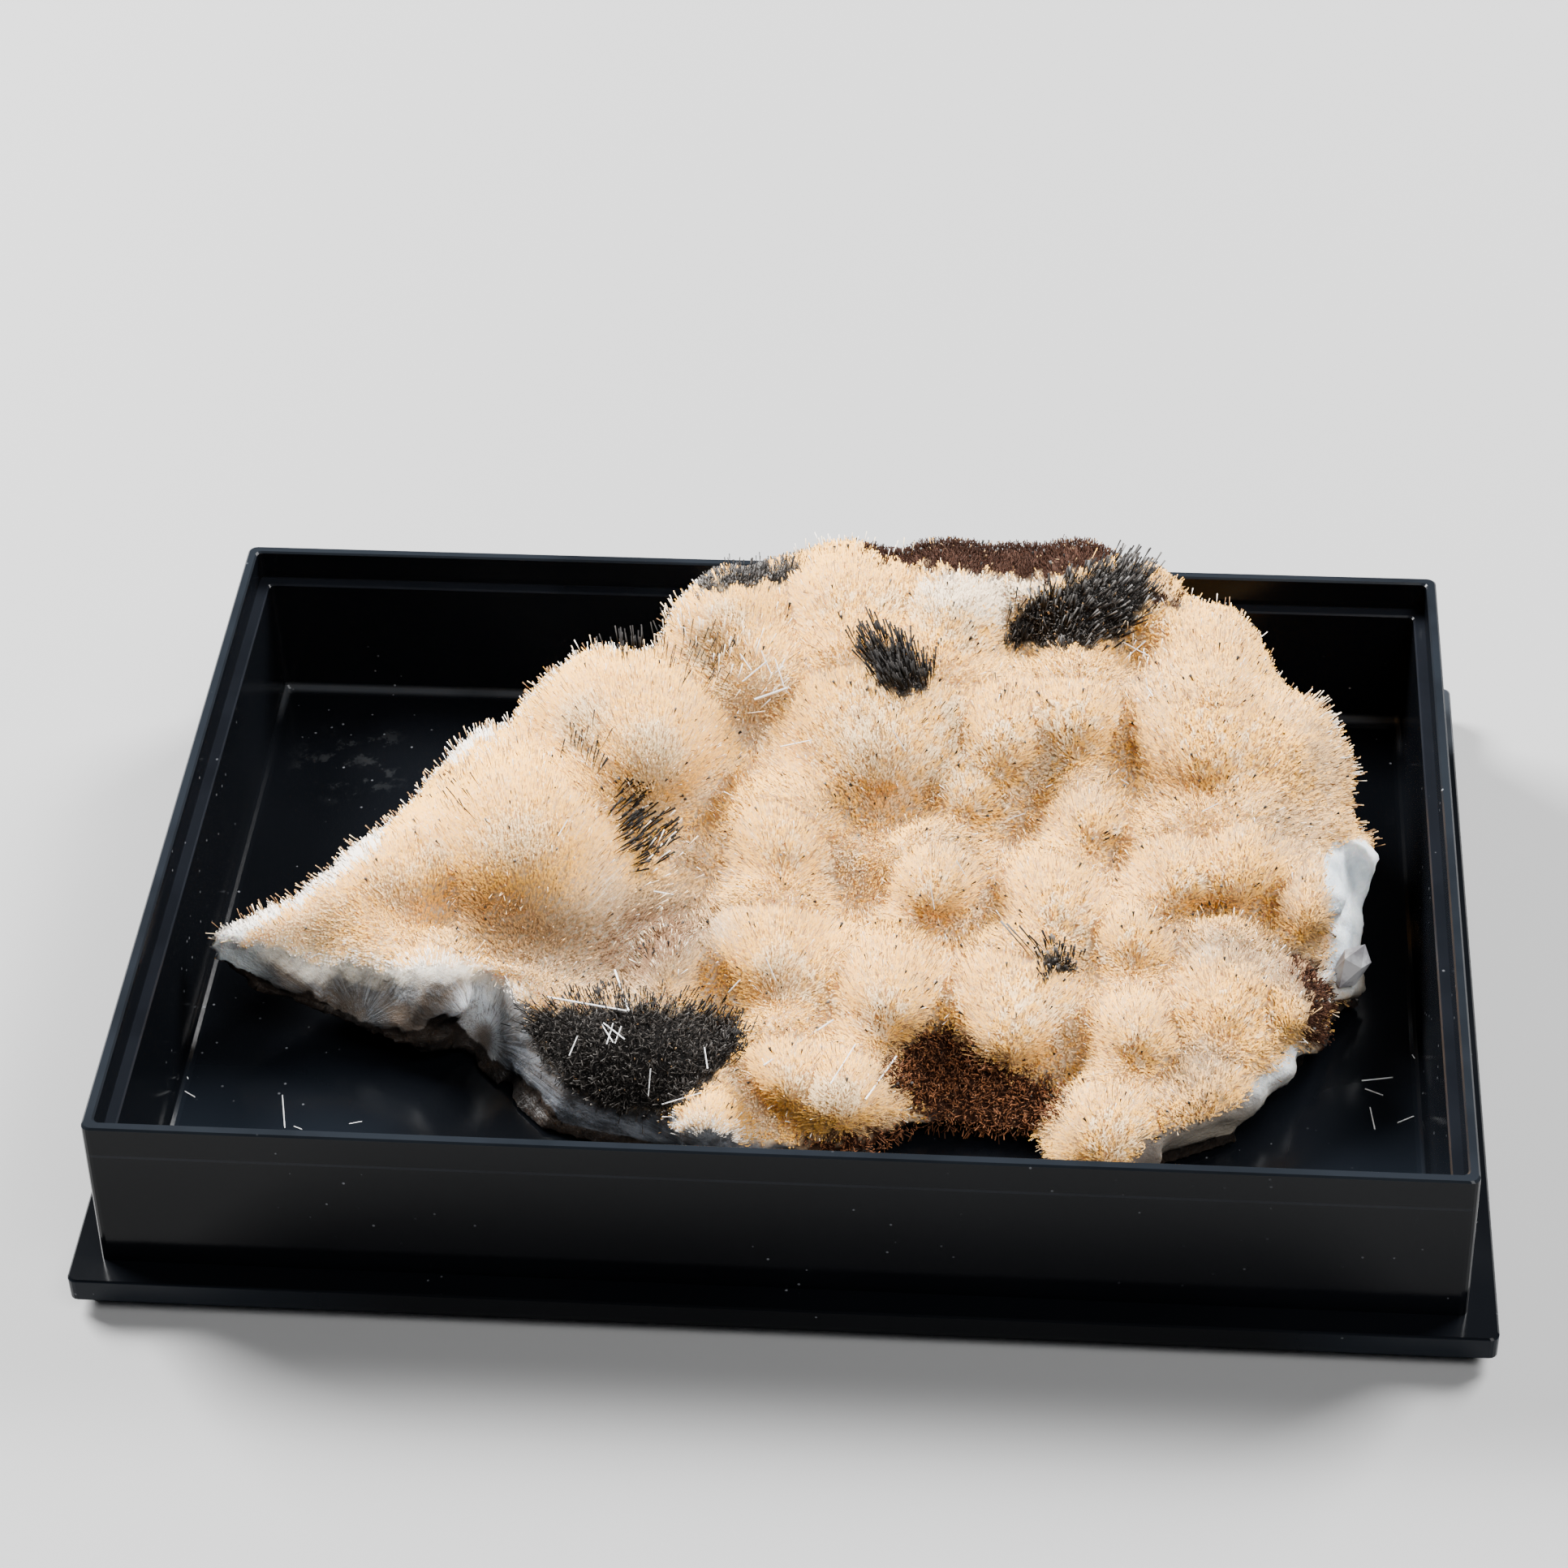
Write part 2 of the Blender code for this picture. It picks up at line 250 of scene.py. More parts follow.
GLASS_LEFT = (
    (250, 1150), (300, 1168), (345, 1170), (385, 1190), (420, 1188), (470, 1196), (520, 1190), (565, 1188),
    (605, 1205), (632, 1228), (640, 1262), (668, 1315), (700, 1345), (740, 1368), (790, 1380), (835, 1392),
    (905, 1398), (905, 1430), (640, 1430), (500, 1330), (300, 1260), (240, 1200),
)
GLASS_RIGHT = (
    (1640, 1050), (1662, 1040), (1700, 1030), (1720, 1060), (1715, 1140), (1700, 1240), (1655, 1240),
    (1652, 1200), (1655, 1160), (1645, 1110), (1638, 1080),
)
GLASS_CORNER = (
    (1625, 1296), (1668, 1284), (1695, 1330), (1600, 1425), (1450, 1465), (1385, 1455), (1418, 1404),
    (1482, 1386), (1524, 1366), (1556, 1336), (1592, 1308),
)
GLASS_FOOT = (
    (690, 1385), (800, 1388), (835, 1396), (900, 1408), (980, 1412), (1060, 1402), (1120, 1386), (1150, 1374),
    (1160, 1450), (690, 1450),
)
ROCK_LEFT = (
    (240, 1176), (285, 1196), (320, 1212), (352, 1230), (378, 1222), (400, 1240), (430, 1254), (470, 1268),
    (515, 1276), (530, 1258), (560, 1256), (590, 1294), (640, 1332), (672, 1358), (690, 1405), (560, 1420),
    (240, 1300),
)
# Painted rim light: the upper edge of the left half, which the lamp behind it catches
RIM_LIT_EDGE = (
    (240, 1190), (240, 1140), (300, 1100), (400, 1040), (470, 975), (560, 900), (630, 860), (638, 878),
    (586, 916), (530, 952), (478, 1000), (468, 1032), (444, 1058), (408, 1084), (368, 1110),
    (328, 1132), (302, 1154), (282, 1180),
)
WHITE_LUMPS = (
    (1136, 712), (1180, 698), (1225, 706), (1262, 712), (1300, 712), (1285, 726), (1260, 742), (1235, 768),
    (1210, 752), (1160, 745), (1130, 730),
)
# Middles of the sprays the needles radiate from, with their reach, in pixels of the photograph, and
# how far their domes rise over the solid, in mm
SPRAYS = (
    (648, 1085, 200, 0.9), (800, 930, 145, 0.9), (925, 800, 90, 0.4), (1085, 925, 175, 0.9),
    (1045, 770, 90, 0.4), (1165, 790, 80, 0.4), (1235, 905, 90, 0.9), (1325, 890, 90, 0.9),
    (1190, 975, 60, 0.5), (1490, 925, 165, 0.9), (1500, 845, 80, 0.5), (1450, 1075, 85, 0.9),
    (1530, 1068, 95, 1.6), (1612, 1115, 70, 1.2), (1345, 1015, 62, 1.0), (965, 1050, 85, 0.8),
    (955, 1190, 95, 0.9), (1150, 1090, 78, 1.3), (1300, 1120, 80, 0.8), (1395, 1160, 70, 1.1),
    (1090, 1235, 90, 0.9), (1250, 1265, 95, 0.9), (1510, 1250, 85, 0.8), (1600, 1250, 60, 0.5),
    (1402, 1268, 80, 1.1), (1365, 1400, 70, 0.6), (1490, 1350, 75, 0.6), (1040, 1345, 85, 1.2),
    (968, 1325, 60, 1.1), (870, 1390, 60, 0.6), (520, 1100, 95, 0.9), (540, 1205, 75, 0.4),
    (625, 1235, 50, 0.3), (780, 1330, 110, 0.5), (1330, 790, 85, 0.4), (1112, 852, 60, 0.4),
    (820, 1195, 55, 0.9),
)
# More hollows: pixel of the photograph, reach in pixels, and depth in mm, below 0 for a fill
DENTS = (
    (632, 1152, 48, 1.0), (862, 1062, 40, 0.6), (1040, 1355, 40, -0.8), (1512, 1100, 40, -1.1),
    (1142, 1112, 30, -0.7), (1402, 1280, 30, -0.5), (1488, 950, 44, -1.1), (1240, 932, 38, -0.7),
    (1120, 1252, 42, -1.1), (1240, 1292, 36, -0.8), (985, 1355, 42, -0.9), (1330, 1150, 28, -0.4),
    (1472, 1098, 38, -1.4), (900, 862, 34, -0.5), (920, 828, 36, -0.5), (1617, 1135, 26, -0.5),
    (655, 815, 40, 0.9), (830, 700, 32, 0.8), (1665, 900, 50, 0.9), (1560, 735, 40, 0.8),
    (1695, 995, 40, 0.7),
)
# Painted shade on the velvet, in the hollows under the domes and in a darker tan arc above the rust-brown
# side, and a little painted light where the shift is above 0: pixel, reach in pixels, and the shift of its
# tone
PAINTED_SHADE = (
    (560, 1120, 45, -0.26), (630, 1145, 50, -0.38), (715, 1160, 75, -0.50), (800, 1150, 75, -0.62),
    (850, 1150, 45, -0.25), (862, 1062, 40, -0.30), (1040, 1352, 50, 0.08), (1480, 1320, 55, -0.38),
    (1650, 940, 60, -0.24), (1600, 1020, 50, -0.20), (1640, 1110, 50, -0.20), (1170, 1030, 45, -0.18),
    (1340, 970, 40, -0.15), (1020, 990, 40, -0.12), (1412, 845, 38, -0.18), (1460, 1160, 28, -0.22),
    (1500, 1158, 28, -0.24), (1540, 1172, 28, -0.26), (1580, 1188, 28, -0.30), (1612, 1205, 26, -0.36),
    (1470, 1425, 34, -0.44), (1500, 1412, 24, -0.40),
)
# Middles of the two fans of fibres in the broken face at the left
FAN_MIDDLES = ((440, 1264), (594, 1279))
# Stains that go on down the back: middle, half width and foot in mm
BLACK_BEHIND_MM = (-6.5, 6.0, 19.0)
RUST_BEHIND_MM = (16.0, 12.5, 17.0)


def numbers(items, name, width, kind=np.float64):
    found = np.empty(len(items) * width, kind)
    items.foreach_get(name, found)
    return found.reshape(-1, width)


def unit(vectors):
    return vectors / np.maximum(np.linalg.norm(vectors, axis=1, keepdims=True), 1e-12)


def rising(values, start, length):
    """0 up to start, and up to 1 over the length after it."""
    return np.clip((values - start) / length, 0, 1)


def activate(item):
    bpy.ops.object.select_all(action="DESELECT")
    item.select_set(True)
    bpy.context.view_layer.objects.active = item


def averaged(values, links, passes):
    """Each vertex's values blended with its neighbours', again and again."""
    count = np.bincount(links.ravel(), minlength=len(values)).astype(float)[:, None]
    for _ in range(passes):
        total = np.zeros_like(values)
        for column in range(values.shape[1]):
            total[:, column] += np.bincount(links[:, 0], values[links[:, 1], column], len(values))
            total[:, column] += np.bincount(links[:, 1], values[links[:, 0], column], len(values))
        values = 0.5 * values + 0.5 * total / np.maximum(count, 1)
    return values


def in_photo(points):
    """Where points, in mm, are in the photograph, in its pixels."""
    apart = points - np.array(CAMERA_MM)
    away = -(apart @ np.array(CAMERA_BACK))
    across = apart @ np.array(CAMERA_RIGHT) / away * FOCAL_PX + PHOTO_PX / 2
    down = -(apart @ np.array(CAMERA_UP)) / away * FOCAL_PX + PHOTO_PX / 2
    return np.stack((across, down), axis=1)


def within(spots, outline, ragged=0.0):
    """How many pixels inside the outline the spots are, below 0 outside, with a ragged edge."""
    corners = np.array(outline, float)
    nearest = np.full(len(spots), 1e9)
    crossings = np.zeros(len(spots), bool)
    for start, end in zip(corners, np.roll(corners, -1, axis=0)):
        side = end - start
        along = np.clip((spots - start) @ side / (side @ side), 0, 1)
        gap = np.linalg.norm(spots - start - along[:, None] * side, axis=1)
        nearest = np.minimum(nearest, gap)
        if start[1] != end[1]:
            level = (spots[:, 1] > min(start[1], end[1])) & (spots[:, 1] <= max(start[1], end[1]))
            crossing = start[0] + (spots[:, 1] - start[1]) / (end[1] - start[1]) * side[0]
            crossings ^= level & (spots[:, 0] < crossing)
    wave = np.sin(spots @ np.array((0.21, 0.09))) + np.sin(spots @ np.array((-0.12, 0.26)) + 1.0)
    wave += np.sin(spots @ np.array((0.55, -0.37)) + 2.0)
    return np.where(crossings, nearest, -nearest) + ragged * wave


def painted(points, toward, *outlines, ragged=3.0):
    """The most that points lie inside any outline, in pixels, for points on the side the photograph shows."""
    found = np.full(len(points), UNSEEN)
    spots = in_photo(points)
    for outline in outlines:
        found = np.maximum(found, within(spots, outline, ragged))
    return np.where(toward, found, UNSEEN)


def sight(px, py):
    """The way a line of sight runs through a pixel of the photograph."""
    across = (px - PHOTO_PX / 2) / FOCAL_PX
    down = (py - PHOTO_PX / 2) / FOCAL_PX
    return (CAMERA_RIGHT * across - CAMERA_UP * down - CAMERA_BACK).normalized()


def spotted(points, toward, spots):
    """The sum of round spots of the photograph, each with its value in its middle, at points it shows."""
    places = in_photo(points)
    total = np.zeros(len(points))
    for px, py, reach, value in spots:
        total += value * np.exp(-((places - (px, py)) ** 2).sum(axis=1) / reach ** 2)
    return total * toward


body = bpy.data.objects.new("natrolite_body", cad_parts["natrolite"].data.copy())
scene.collection.objects.link(body)
body.data.materials.clear()
activate(body)
bpy.ops.object.mode_set(mode="EDIT")
bpy.ops.mesh.select_all(action="SELECT")
bpy.ops.mesh.remove_doubles(threshold=0.000002)
bpy.ops.object.mode_set(mode="OBJECT")
rough = numbers(body.data.vertices, "co", 3) / MM
body.data.calc_loop_triangles()
rough_faces = numbers(body.data.loop_triangles, "vertices", 3, np.int32)
solid = BVHTree.FromPolygons([Vector(spot) for spot in rough.tolist()], rough_faces.tolist())
lumps = list(EDGE_LUMPS_MM)
for px, py, reach_px, rise in SPRAYS:
    middle, normal, _, away = solid.ray_cast(CAMERA_MM, sight(px, py))
    reach = reach_px * away / FOCAL_PX
    radius = BALL_SHARE * reach
    centre = middle - normal * (radius - rise)
    if centre.z - radius > BALL_FOOT_MM:
        lumps.append((*centre, radius))
for x, y, z, radius in lumps:
    bpy.ops.mesh.primitive_ico_sphere_add(subdivisions=3, radius=radius * MM, location=(0, 0, 0))
    lump = bpy.context.object
    lump.data.transform(Matrix.Translation(Vector((x, y, z)) * MM))
    body.select_set(True)
    bpy.context.view_layer.objects.active = body
    bpy.ops.object.join()
activate(body)
remesh = body.modifiers.new("remesh", "REMESH")
remesh.mode = "VOXEL"
remesh.voxel_size = SKIN_GRID_MM * MM
bpy.ops.object.modifier_apply(modifier=remesh.name)
links = numbers(body.data.edges, "vertices", 2, np.int32)
skin = numbers(body.data.vertices, "co", 3) / MM


def toward_viewer(points, facing, least=0.02):
    """Whether the camera is on the side that points face. A least below 0 reaches round the edge."""
    return (facing * unit(np.array(CAMERA_MM) - points)).sum(axis=1) > least


def blurred(values, passes):
    """One value for each point of the skin, blended with its neighbours'."""
    return averaged(values[:, None], links, passes)[:, 0]


facing = numbers(body.data.vertex_normals, "vector", 3)
lie = unit(averaged(facing, links, 24))
toward = toward_viewer(skin, averaged(facing, links, 3))
around = toward_viewer(skin, averaged(facing, links, 3), -0.55)
glass = painted(skin, around, GLASS_RIGHT, GLASS_CORNER, GLASS_FOOT)
glass = np.maximum(painted(skin, toward, GLASS_LEFT, ragged=4.0), glass)
# the glassy face runs right up to the front tuft
tuft = painted(skin, toward, FRONT_TUFT)
seam = np.minimum(tuft + 13, painted(skin, toward, GLASS_LEFT) + 13)
glass = np.minimum(np.maximum(glass, seam), 10 - 2 * tuft)
rock = painted(skin, toward, ROCK_LEFT)
underneath = (facing[:, 2] < -0.4) | (skin[:, 2] < UNDERSIDE_Z_MM)
underneath = blurred(underneath.astype(float), 3)
rock = np.clip(blurred(np.maximum(rock / 8.0 + 0.5, underneath * 1.6 - 0.3), 2), 0, 1)
glass = blurred(np.clip(glass / 26.0 + 0.45, 0, 1), 1)
bare = np.maximum(glass, rock)
# domes stand clear of one another: the hollows between them go deeper, and their tops a little higher
even = averaged(skin, links, SKIN_PASSES)
broad = averaged(even, links, BROAD_PASSES)
rise = ((even - broad) * lie).sum(axis=1)
sink = np.clip(-rise * VALLEY_SHARE, 0, VALLEY_LIMIT_MM) * (1 - underneath) * (1 - glass)
sink = blurred(sink, 8) + spotted(skin, toward, DENTS)
# the outline is drawn in round the right end, at its far side, and along the back of the left half
right_end = np.clip(lie[:, 0] * 1.6 - 0.3, 0, 1) * rising(skin[:, 0], 24, 12)
far_side = np.clip(lie @ (0.55, 0.80, 0.25) * 2.5 - 1.3, 0, 1) * rising(skin[:, 0], 20, 8)
back_edge = np.clip(lie @ BACKWARD * 2.5 - 1.0, 0, 1) * rising(-skin[:, 0], 6, 8) * rising(skin[:, 0], -50, 6)
back_edge *= 0.9 + 0.5 * rising(skin[:, 0], -30, 6)
sink += (1.5 * right_end + 0.6 * far_side + back_edge) * (1 - bare)
sink -= np.clip(rise * DOME_SHARE, 0, DOME_LIMIT_MM) * (1 - bare) * (even[:, 2] < DOME_TOP_MM)
kept = blurred(bare, 2)[:, None]
skin = skin * kept + even * (1 - kept) - lie * sink[:, None]
body.data.vertices.foreach_set("co", (skin * MM).ravel())
body.data.update()
facing = numbers(body.data.vertex_normals, "vector", 3)
lie = unit(averaged(facing, links, 18))
body.data.calc_loop_triangles()
triangles = numbers(body.data.loop_triangles, "vertices", 3, np.int32)
outer = BVHTree.FromPolygons([Vector(spot) for spot in skin.tolist()], triangles.tolist())


def on_skin(px, py):
    """The place on the specimen at a pixel of the photograph, or none."""
    return outer.ray_cast(CAMERA_MM, sight(px, py))[0]


def patches(points, facing):
    """How far inside the black patches and the rust-brown ones, in photograph pixels."""
    toward = toward_viewer(points, facing)
    black = painted(points, toward, FRONT_TUFT, BACK_TUFT, CENTRE_TUFT, SMALL_TUFT, DARK_RIM)
    rust = painted(points, toward, RUST_RIM, RUST_HOLLOW, RUST_SIDE, RUST_FOOT, ORANGE_SPOT, ragged=4.0)
    # the stains run on down the back, where the photograph doesn't reach, with a soft and ragged edge
    x, _, z = points.T
    wave = 1.2 * np.sin(0.9 * x + 0.4 * z) + 0.8 * np.sin(1.7 * x - 1.1 * z + 1.0)
    stains = []
    for stain, (middle, half, foot) in ((black, BLACK_BEHIND_MM), (rust, RUST_BEHIND_MM)):
        behind = 3.0 * (np.minimum(half - abs(x - middle), z - foot) + wave)
        stains.append(np.maximum(stain, np.where(toward, UNSEEN, behind)))
    return stains


velvet = np.clip(1.0 - 1.5 * bare, 0, 1)
tail = rising(-skin[:, 0], -TAIL_X_MM, TAIL_LENGTH_MM)
depth = blurred(VELVET_MM * velvet * (1.0 - 0.55 * tail), 3)
black, rust = patches(skin, lie)
inner = skin - lie * depth[:, None]
# broken faces are uneven: shallow dents in the glassy ones, and rough lumps in the rock
for index in np.flatnonzero(bare > 0.3).tolist():
    spot = Vector(skin[index])
    dent = 0.30 + 0.28 * noise.noise(spot * 0.35) + 0.10 * noise.noise(spot * 1.1)
    lump = 0.55 + 0.55 * noise.turbulence(spot * 0.42, 3, True) * (1 if noise.noise(spot * 0.3) > 0 else -0.6)
    cut = dent * glass[index] * (1 - rock[index]) + lump * rock[index] * (skin[index, 2] > 3.9)
    inner[index] -= lie[index] * min(max(cut, 0.0), 1.2)
inner[:, 2] = np.maximum(inner[:, 2], skin[:, 2].min())
body.data.vertices.foreach_set("co", (inner * MM).ravel())
body.data.update()
# painted shade: the body's colour is darker in the hollows, and more so under the shade spots
hollow_shade = blurred(np.clip(-rise / 1.4, 0, 1), 8)
# painted shade and light from the shade spots, for the colour of the body
shade_shift = spotted(skin, toward_viewer(skin, lie), PAINTED_SHADE)
face = np.clip(painted(skin, toward, GLASS_LEFT) / 70, 0, 1)
# the body is painted white along the upper edge of the left half as rim light, and pale on the lumps at the
# ridge
white_and_rim_lit = np.clip(painted(skin, toward_viewer(skin, lie), RIM_LIT_EDGE) / 8 + 0.5, 0, 1)
white_and_rim_lit = np.maximum(white_and_rim_lit, np.clip(painted(skin, toward, WHITE_LUMPS) / 20 + 0.4, 0, 0.5))
layers = {
    "hollow_shade": np.clip(hollow_shade - 2.5 * shade_shift, 0, 1),
    "face": face,
    "white_and_rim_lit": white_and_rim_lit,
    "black": np.clip(black / 10 + 0.5, 0, 1),
    "rust": np.clip(rust / 12 + 0.5, 0, 1),
    "glass": glass,
    "rock": rock,
}
for name, values in layers.items():
    layer = body.data.attributes.new(name, "FLOAT", "POINT")
    layer.data.foreach_set("value", values.astype(np.float32))
body.data.polygons.foreach_set("use_smooth", np.ones(len(body.data.polygons), bool))

stone, shader, wire = new_material(
    "natrolite",
    {"Specular IOR Level": 0.3, "Subsurface Weight": 0.35, "Subsurface Radius": (1.0, 0.6, 0.35),
     "Subsurface Scale": 0.0016},
)
masks = {name: wire.node("ShaderNodeAttribute", "Fac", {"attribute_name": name}) for name in layers}
cloud = wire.noise(180.0, 3.0, 0.6)
fine = wire.noise(2600.0, 3.0, 0.65)
cream = wire.mix(cloud.between(0.35, 0.65), (0.92, 0.63, 0.33), (0.96, 0.68, 0.39))
# painted shade in the hollows
cream = wire.mix(masks["hollow_shade"].between(0.1, 0.9) * 0.6, cream, (0.66, 0.57, 0.45))
cream = wire.mix(fine.between(0.5, 0.8) * 0.4, cream, (0.98, 0.74, 0.44))
# painted rim light along the upper edge of the left half, and the pale lumps at the ridge
cream = wire.mix(masks["white_and_rim_lit"], cream, (0.90, 0.90, 0.88))
# fibres of the sprays, cut through where the edge is broken
across = wire.part("X")
low = 1.0 - wire.part("Z").between(0.0055, 0.0100)
fibres = []
for px, py in FAN_MIDDLES:
    middle = on_skin(px, py) * MM
    away = wire.node("ShaderNodeVectorMath", 0, {"operation": "SUBTRACT"}, i0=wire.place(), i1=tuple(middle))
    ray = wire.node("ShaderNodeVectorMath", 0, {"operation": "NORMALIZE"}, i0=away)
    fibres.append(wire.noise(13.0, 5.0, 0.75, ray))
fibre = wire.node("ShaderNodeMix", 0, i0=across.between(-0.0345, -0.0325), i2=fibres[0], i3=fibres[1])
reach = wire.node("ShaderNodeVectorMath", "Value", {"operation": "LENGTH"}, i0=away)
fan = reach.between(0.0005, 0.0020) * (1.0 - reach.between(0.0045, 0.0065))
fan = fan * (1.0 - across.between(-0.0262, -0.0245))
patchy = wire.noise(230.0, 3.0, 0.55)
glassy = wire.mix(patchy.between(0.40, 0.62), (0.075, 0.072, 0.070), (0.145, 0.115, 0.090))
glassy = wire.mix(fibre.between(0.42, 0.64) * 0.5, glassy, (0.28, 0.295, 0.31))
glassy = wire.mix(fan * fibre.between(0.30, 0.55) * 0.9, glassy, (0.74, 0.78, 0.82))
upper = (1.0 - masks["face"].between(0.05, 0.42)) * (1.0 - across.between(-0.0275, -0.0240))
glassy = wire.mix(upper * 0.8, glassy, (0.62, 0.56, 0.46))
brown = masks["face"].between(0.45, 0.95) * patchy.between(0.35, 0.6)
glassy = wire.mix(brown * 0.8, glassy, (0.15, 0.11, 0.080))
glassy = wire.mix((1.0 - across.between(-0.0480, -0.0445)) * 0.8, glassy, (0.60, 0.64, 0.65))
below = low * across.between(-0.0275, -0.0235) * (1.0 - across.between(0.0, 0.004))
streaked = wire.mix(fibre.between(0.42, 0.62), (0.035, 0.039, 0.046), (0.12, 0.13, 0.15))
glassy = wire.mix(below * 0.9, glassy, streaked)
glassy = wire.mix(across.between(0.0, 0.006) * low, glassy, (0.20, 0.165, 0.14))
glassy = wire.mix(across.between(0.028, 0.034) * low, glassy, (0.30, 0.26, 0.21))
milky = wire.mix(patchy.between(0.42, 0.60), (0.58, 0.64, 0.68), (0.84, 0.89, 0.91))
glassy = wire.mix(across.between(0.036, 0.042) * (1.0 - low), glassy, milky)
rough_rock = wire.mix(cloud.between(0.4, 0.6), (0.009, 0.007, 0.006), (0.028, 0.020, 0.015))
rough_rock = wire.mix(fine.between(0.5, 0.75) * 0.3, rough_rock, (0.10, 0.08, 0.065))
colour = wire.mix(masks["rust"], cream, (0.040, 0.012, 0.004))
colour = wire.mix(masks["glass"].between(0.12, 0.5) * (1.0 - masks["rust"]), colour, glassy)
colour = wire.mix(masks["rock"].between(0.3, 0.7), colour, rough_rock)
colour = wire.mix(masks["black"], colour, (0.012, 0.010, 0.009))
feed(shader, "Base Color", colour)
feed(shader, "Roughness", 0.85 - masks["glass"] * 0.45)
height = fibre * masks["glass"] * 0.5 + fine * 0.35 + cloud * masks["rock"]
feed(shader, "Normal", wire.node("ShaderNodeBump", 0, Height=height, Strength=0.6, Distance=0.0005))
body.data.materials.append(stone)
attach(body, "root")
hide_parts("natrolite")


# Needle ends: natrolite crystals as fine as hair, standing side by side all over the sprays.
# Each is one slender three-sided bristle with a flat end, and many thousand make up a piece.
CREAM_COUNT = 228000
PIECE_BRISTLES = 46000
BRISTLE_MM = 0.049
LONG_SHARE = 0.015
# The highest place a needle may reach
TOP_MM = 29.5
# Where the ridge at the back and the side of the right end start
RIDGE_Y_MM = 5
SIDE_X_MM = 34
# Tones of needles, from dark brown at 0 to white at 1
WHITE_TONE = 0.97
PALE_TONE = 0.90
# Where longer needles stand out, in pixels of the photograph
LONG_SPOTS = (
    ((570, 905), (600, 872), (660, 860), (665, 900), (610, 935)),
    ((715, 790), (740, 755), (810, 745), (815, 790), (750, 815)),
    ((1560, 790), (1590, 760), (1660, 830), (1690, 900), (1650, 900), (1600, 840)),
)
random = np.random.default_rng(11)
corners = skin[triangles]
areas = np.linalg.norm(np.cross(corners[:, 1] - corners[:, 0], corners[:, 2] - corners[:, 0]), axis=1) / 2


def scattered(count, weight):
    """Random places on the skin: point, lie of the needles there, depth of the velvet, hollowness."""
    share = np.cumsum(areas * weight[triangles].mean(axis=1))
    chosen = np.searchsorted(share, random.random(count) * share[-1])
    chosen = np.minimum(chosen, len(triangles) - 1)
    first, second = random.random((2, count))
    over = first + second > 1
    first[over], second[over] = 1 - first[over], 1 - second[over]
    shares = np.stack((1 - first - second, first, second), axis=1)
    near = triangles[chosen]
    point = (skin[near] * shares[:, :, None]).sum(axis=1)
    way = unit((lie[near] * shares[:, :, None]).sum(axis=1))
    deep = (depth[near] * shares).sum(axis=1)
    return point, way, deep, hollow_shade[near[:, 0]]


def bristles(name, roots, tips, width, tone, finish, lit=None):
    """One mesh of bristles. Their map holds the tone across and the way from root to end along.

    Light falls on them by the lie of the velvet they belong to, if it is given.
    """
    count = len(roots)
    tips[:, 2] = np.minimum(tips[:, 2], TOP_MM)
    way = unit(tips - roots)
    side = unit(np.cross(way, unit(random.normal(size=(count, 3)))))
    other = np.cross(way, side)
    points = np.empty((count, 4, 3))
    points[:, 0] = roots
    for corner in range(3):
        angle = 2 * math.pi * corner / 3
        reach = side * math.cos(angle) + other * math.sin(angle)
        points[:, corner + 1] = tips + reach * np.reshape(width, (-1, 1))
    faces = np.array(((0, 2, 1), (0, 3, 2), (0, 1, 3), (1, 2, 3)))
    faces = (faces[None] + 4 * np.arange(count)[:, None, None]).reshape(-1, 3)
    mesh = bpy.data.meshes.new(name)
    mesh.vertices.add(4 * count)
    mesh.vertices.foreach_set("co", (points * MM).ravel())
    mesh.loops.add(12 * count)
    mesh.loops.foreach_set("vertex_index", faces.ravel().astype(np.int32))
    mesh.polygons.add(4 * count)
    mesh.polygons.foreach_set("loop_start", np.arange(0, 12 * count, 3, dtype=np.int32))
    up = np.tile(np.array((0.03, 0.8, 0.8) * 3 + (0.97, 0.97, 0.97)), count)
    across = np.repeat(0.03 + 0.94 * tone, 12) + np.tile(np.array((0, 0, 0) * 3 + (0, 0.006, 0.003)), count)
    spread = np.stack((across, up), axis=1).astype(np.float32).ravel()
    for layer_name in ("needle", "OFBake"):
        mesh.uv_layers.new(name=layer_name).uv.foreach_set("vector", spread)
    mesh.update()
    mesh.validate()
    if lit is not None:
        outward = points - ((roots + 3 * tips) / 4)[:, None]
        outward = unit(outward.reshape(-1, 3)) * 0.35 + np.repeat(lit, 4, axis=0)
        mesh.polygons.foreach_set("use_smooth", np.ones(4 * count, bool))
        mesh.normals_split_custom_set_from_vertices(unit(outward).tolist())
    mesh.materials.append(finish)
    item = bpy.data.objects.new(name, mesh)
    scene.collection.objects.link(item)
    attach(item, "root")


def needle_material(name, roots, ends, fixed):
    """Colours by tone at the root and at the end of each needle."""
    made, shader, wire = new_material(name, fixed)
    spread = wire.node("ShaderNodeUVMap", 0, {"uv_map": "needle"})
    tone = wire.part("X", spread)
    low = wire.node("ShaderNodeValToRGB", 0, None, roots, Fac=tone)
    high = wire.node("ShaderNodeValToRGB", 0, None, ends, Fac=tone)
    feed(shader, "Base Color", wire.mix(wire.part("Y", spread).between(0.15, 0.9), low, high))
    return made


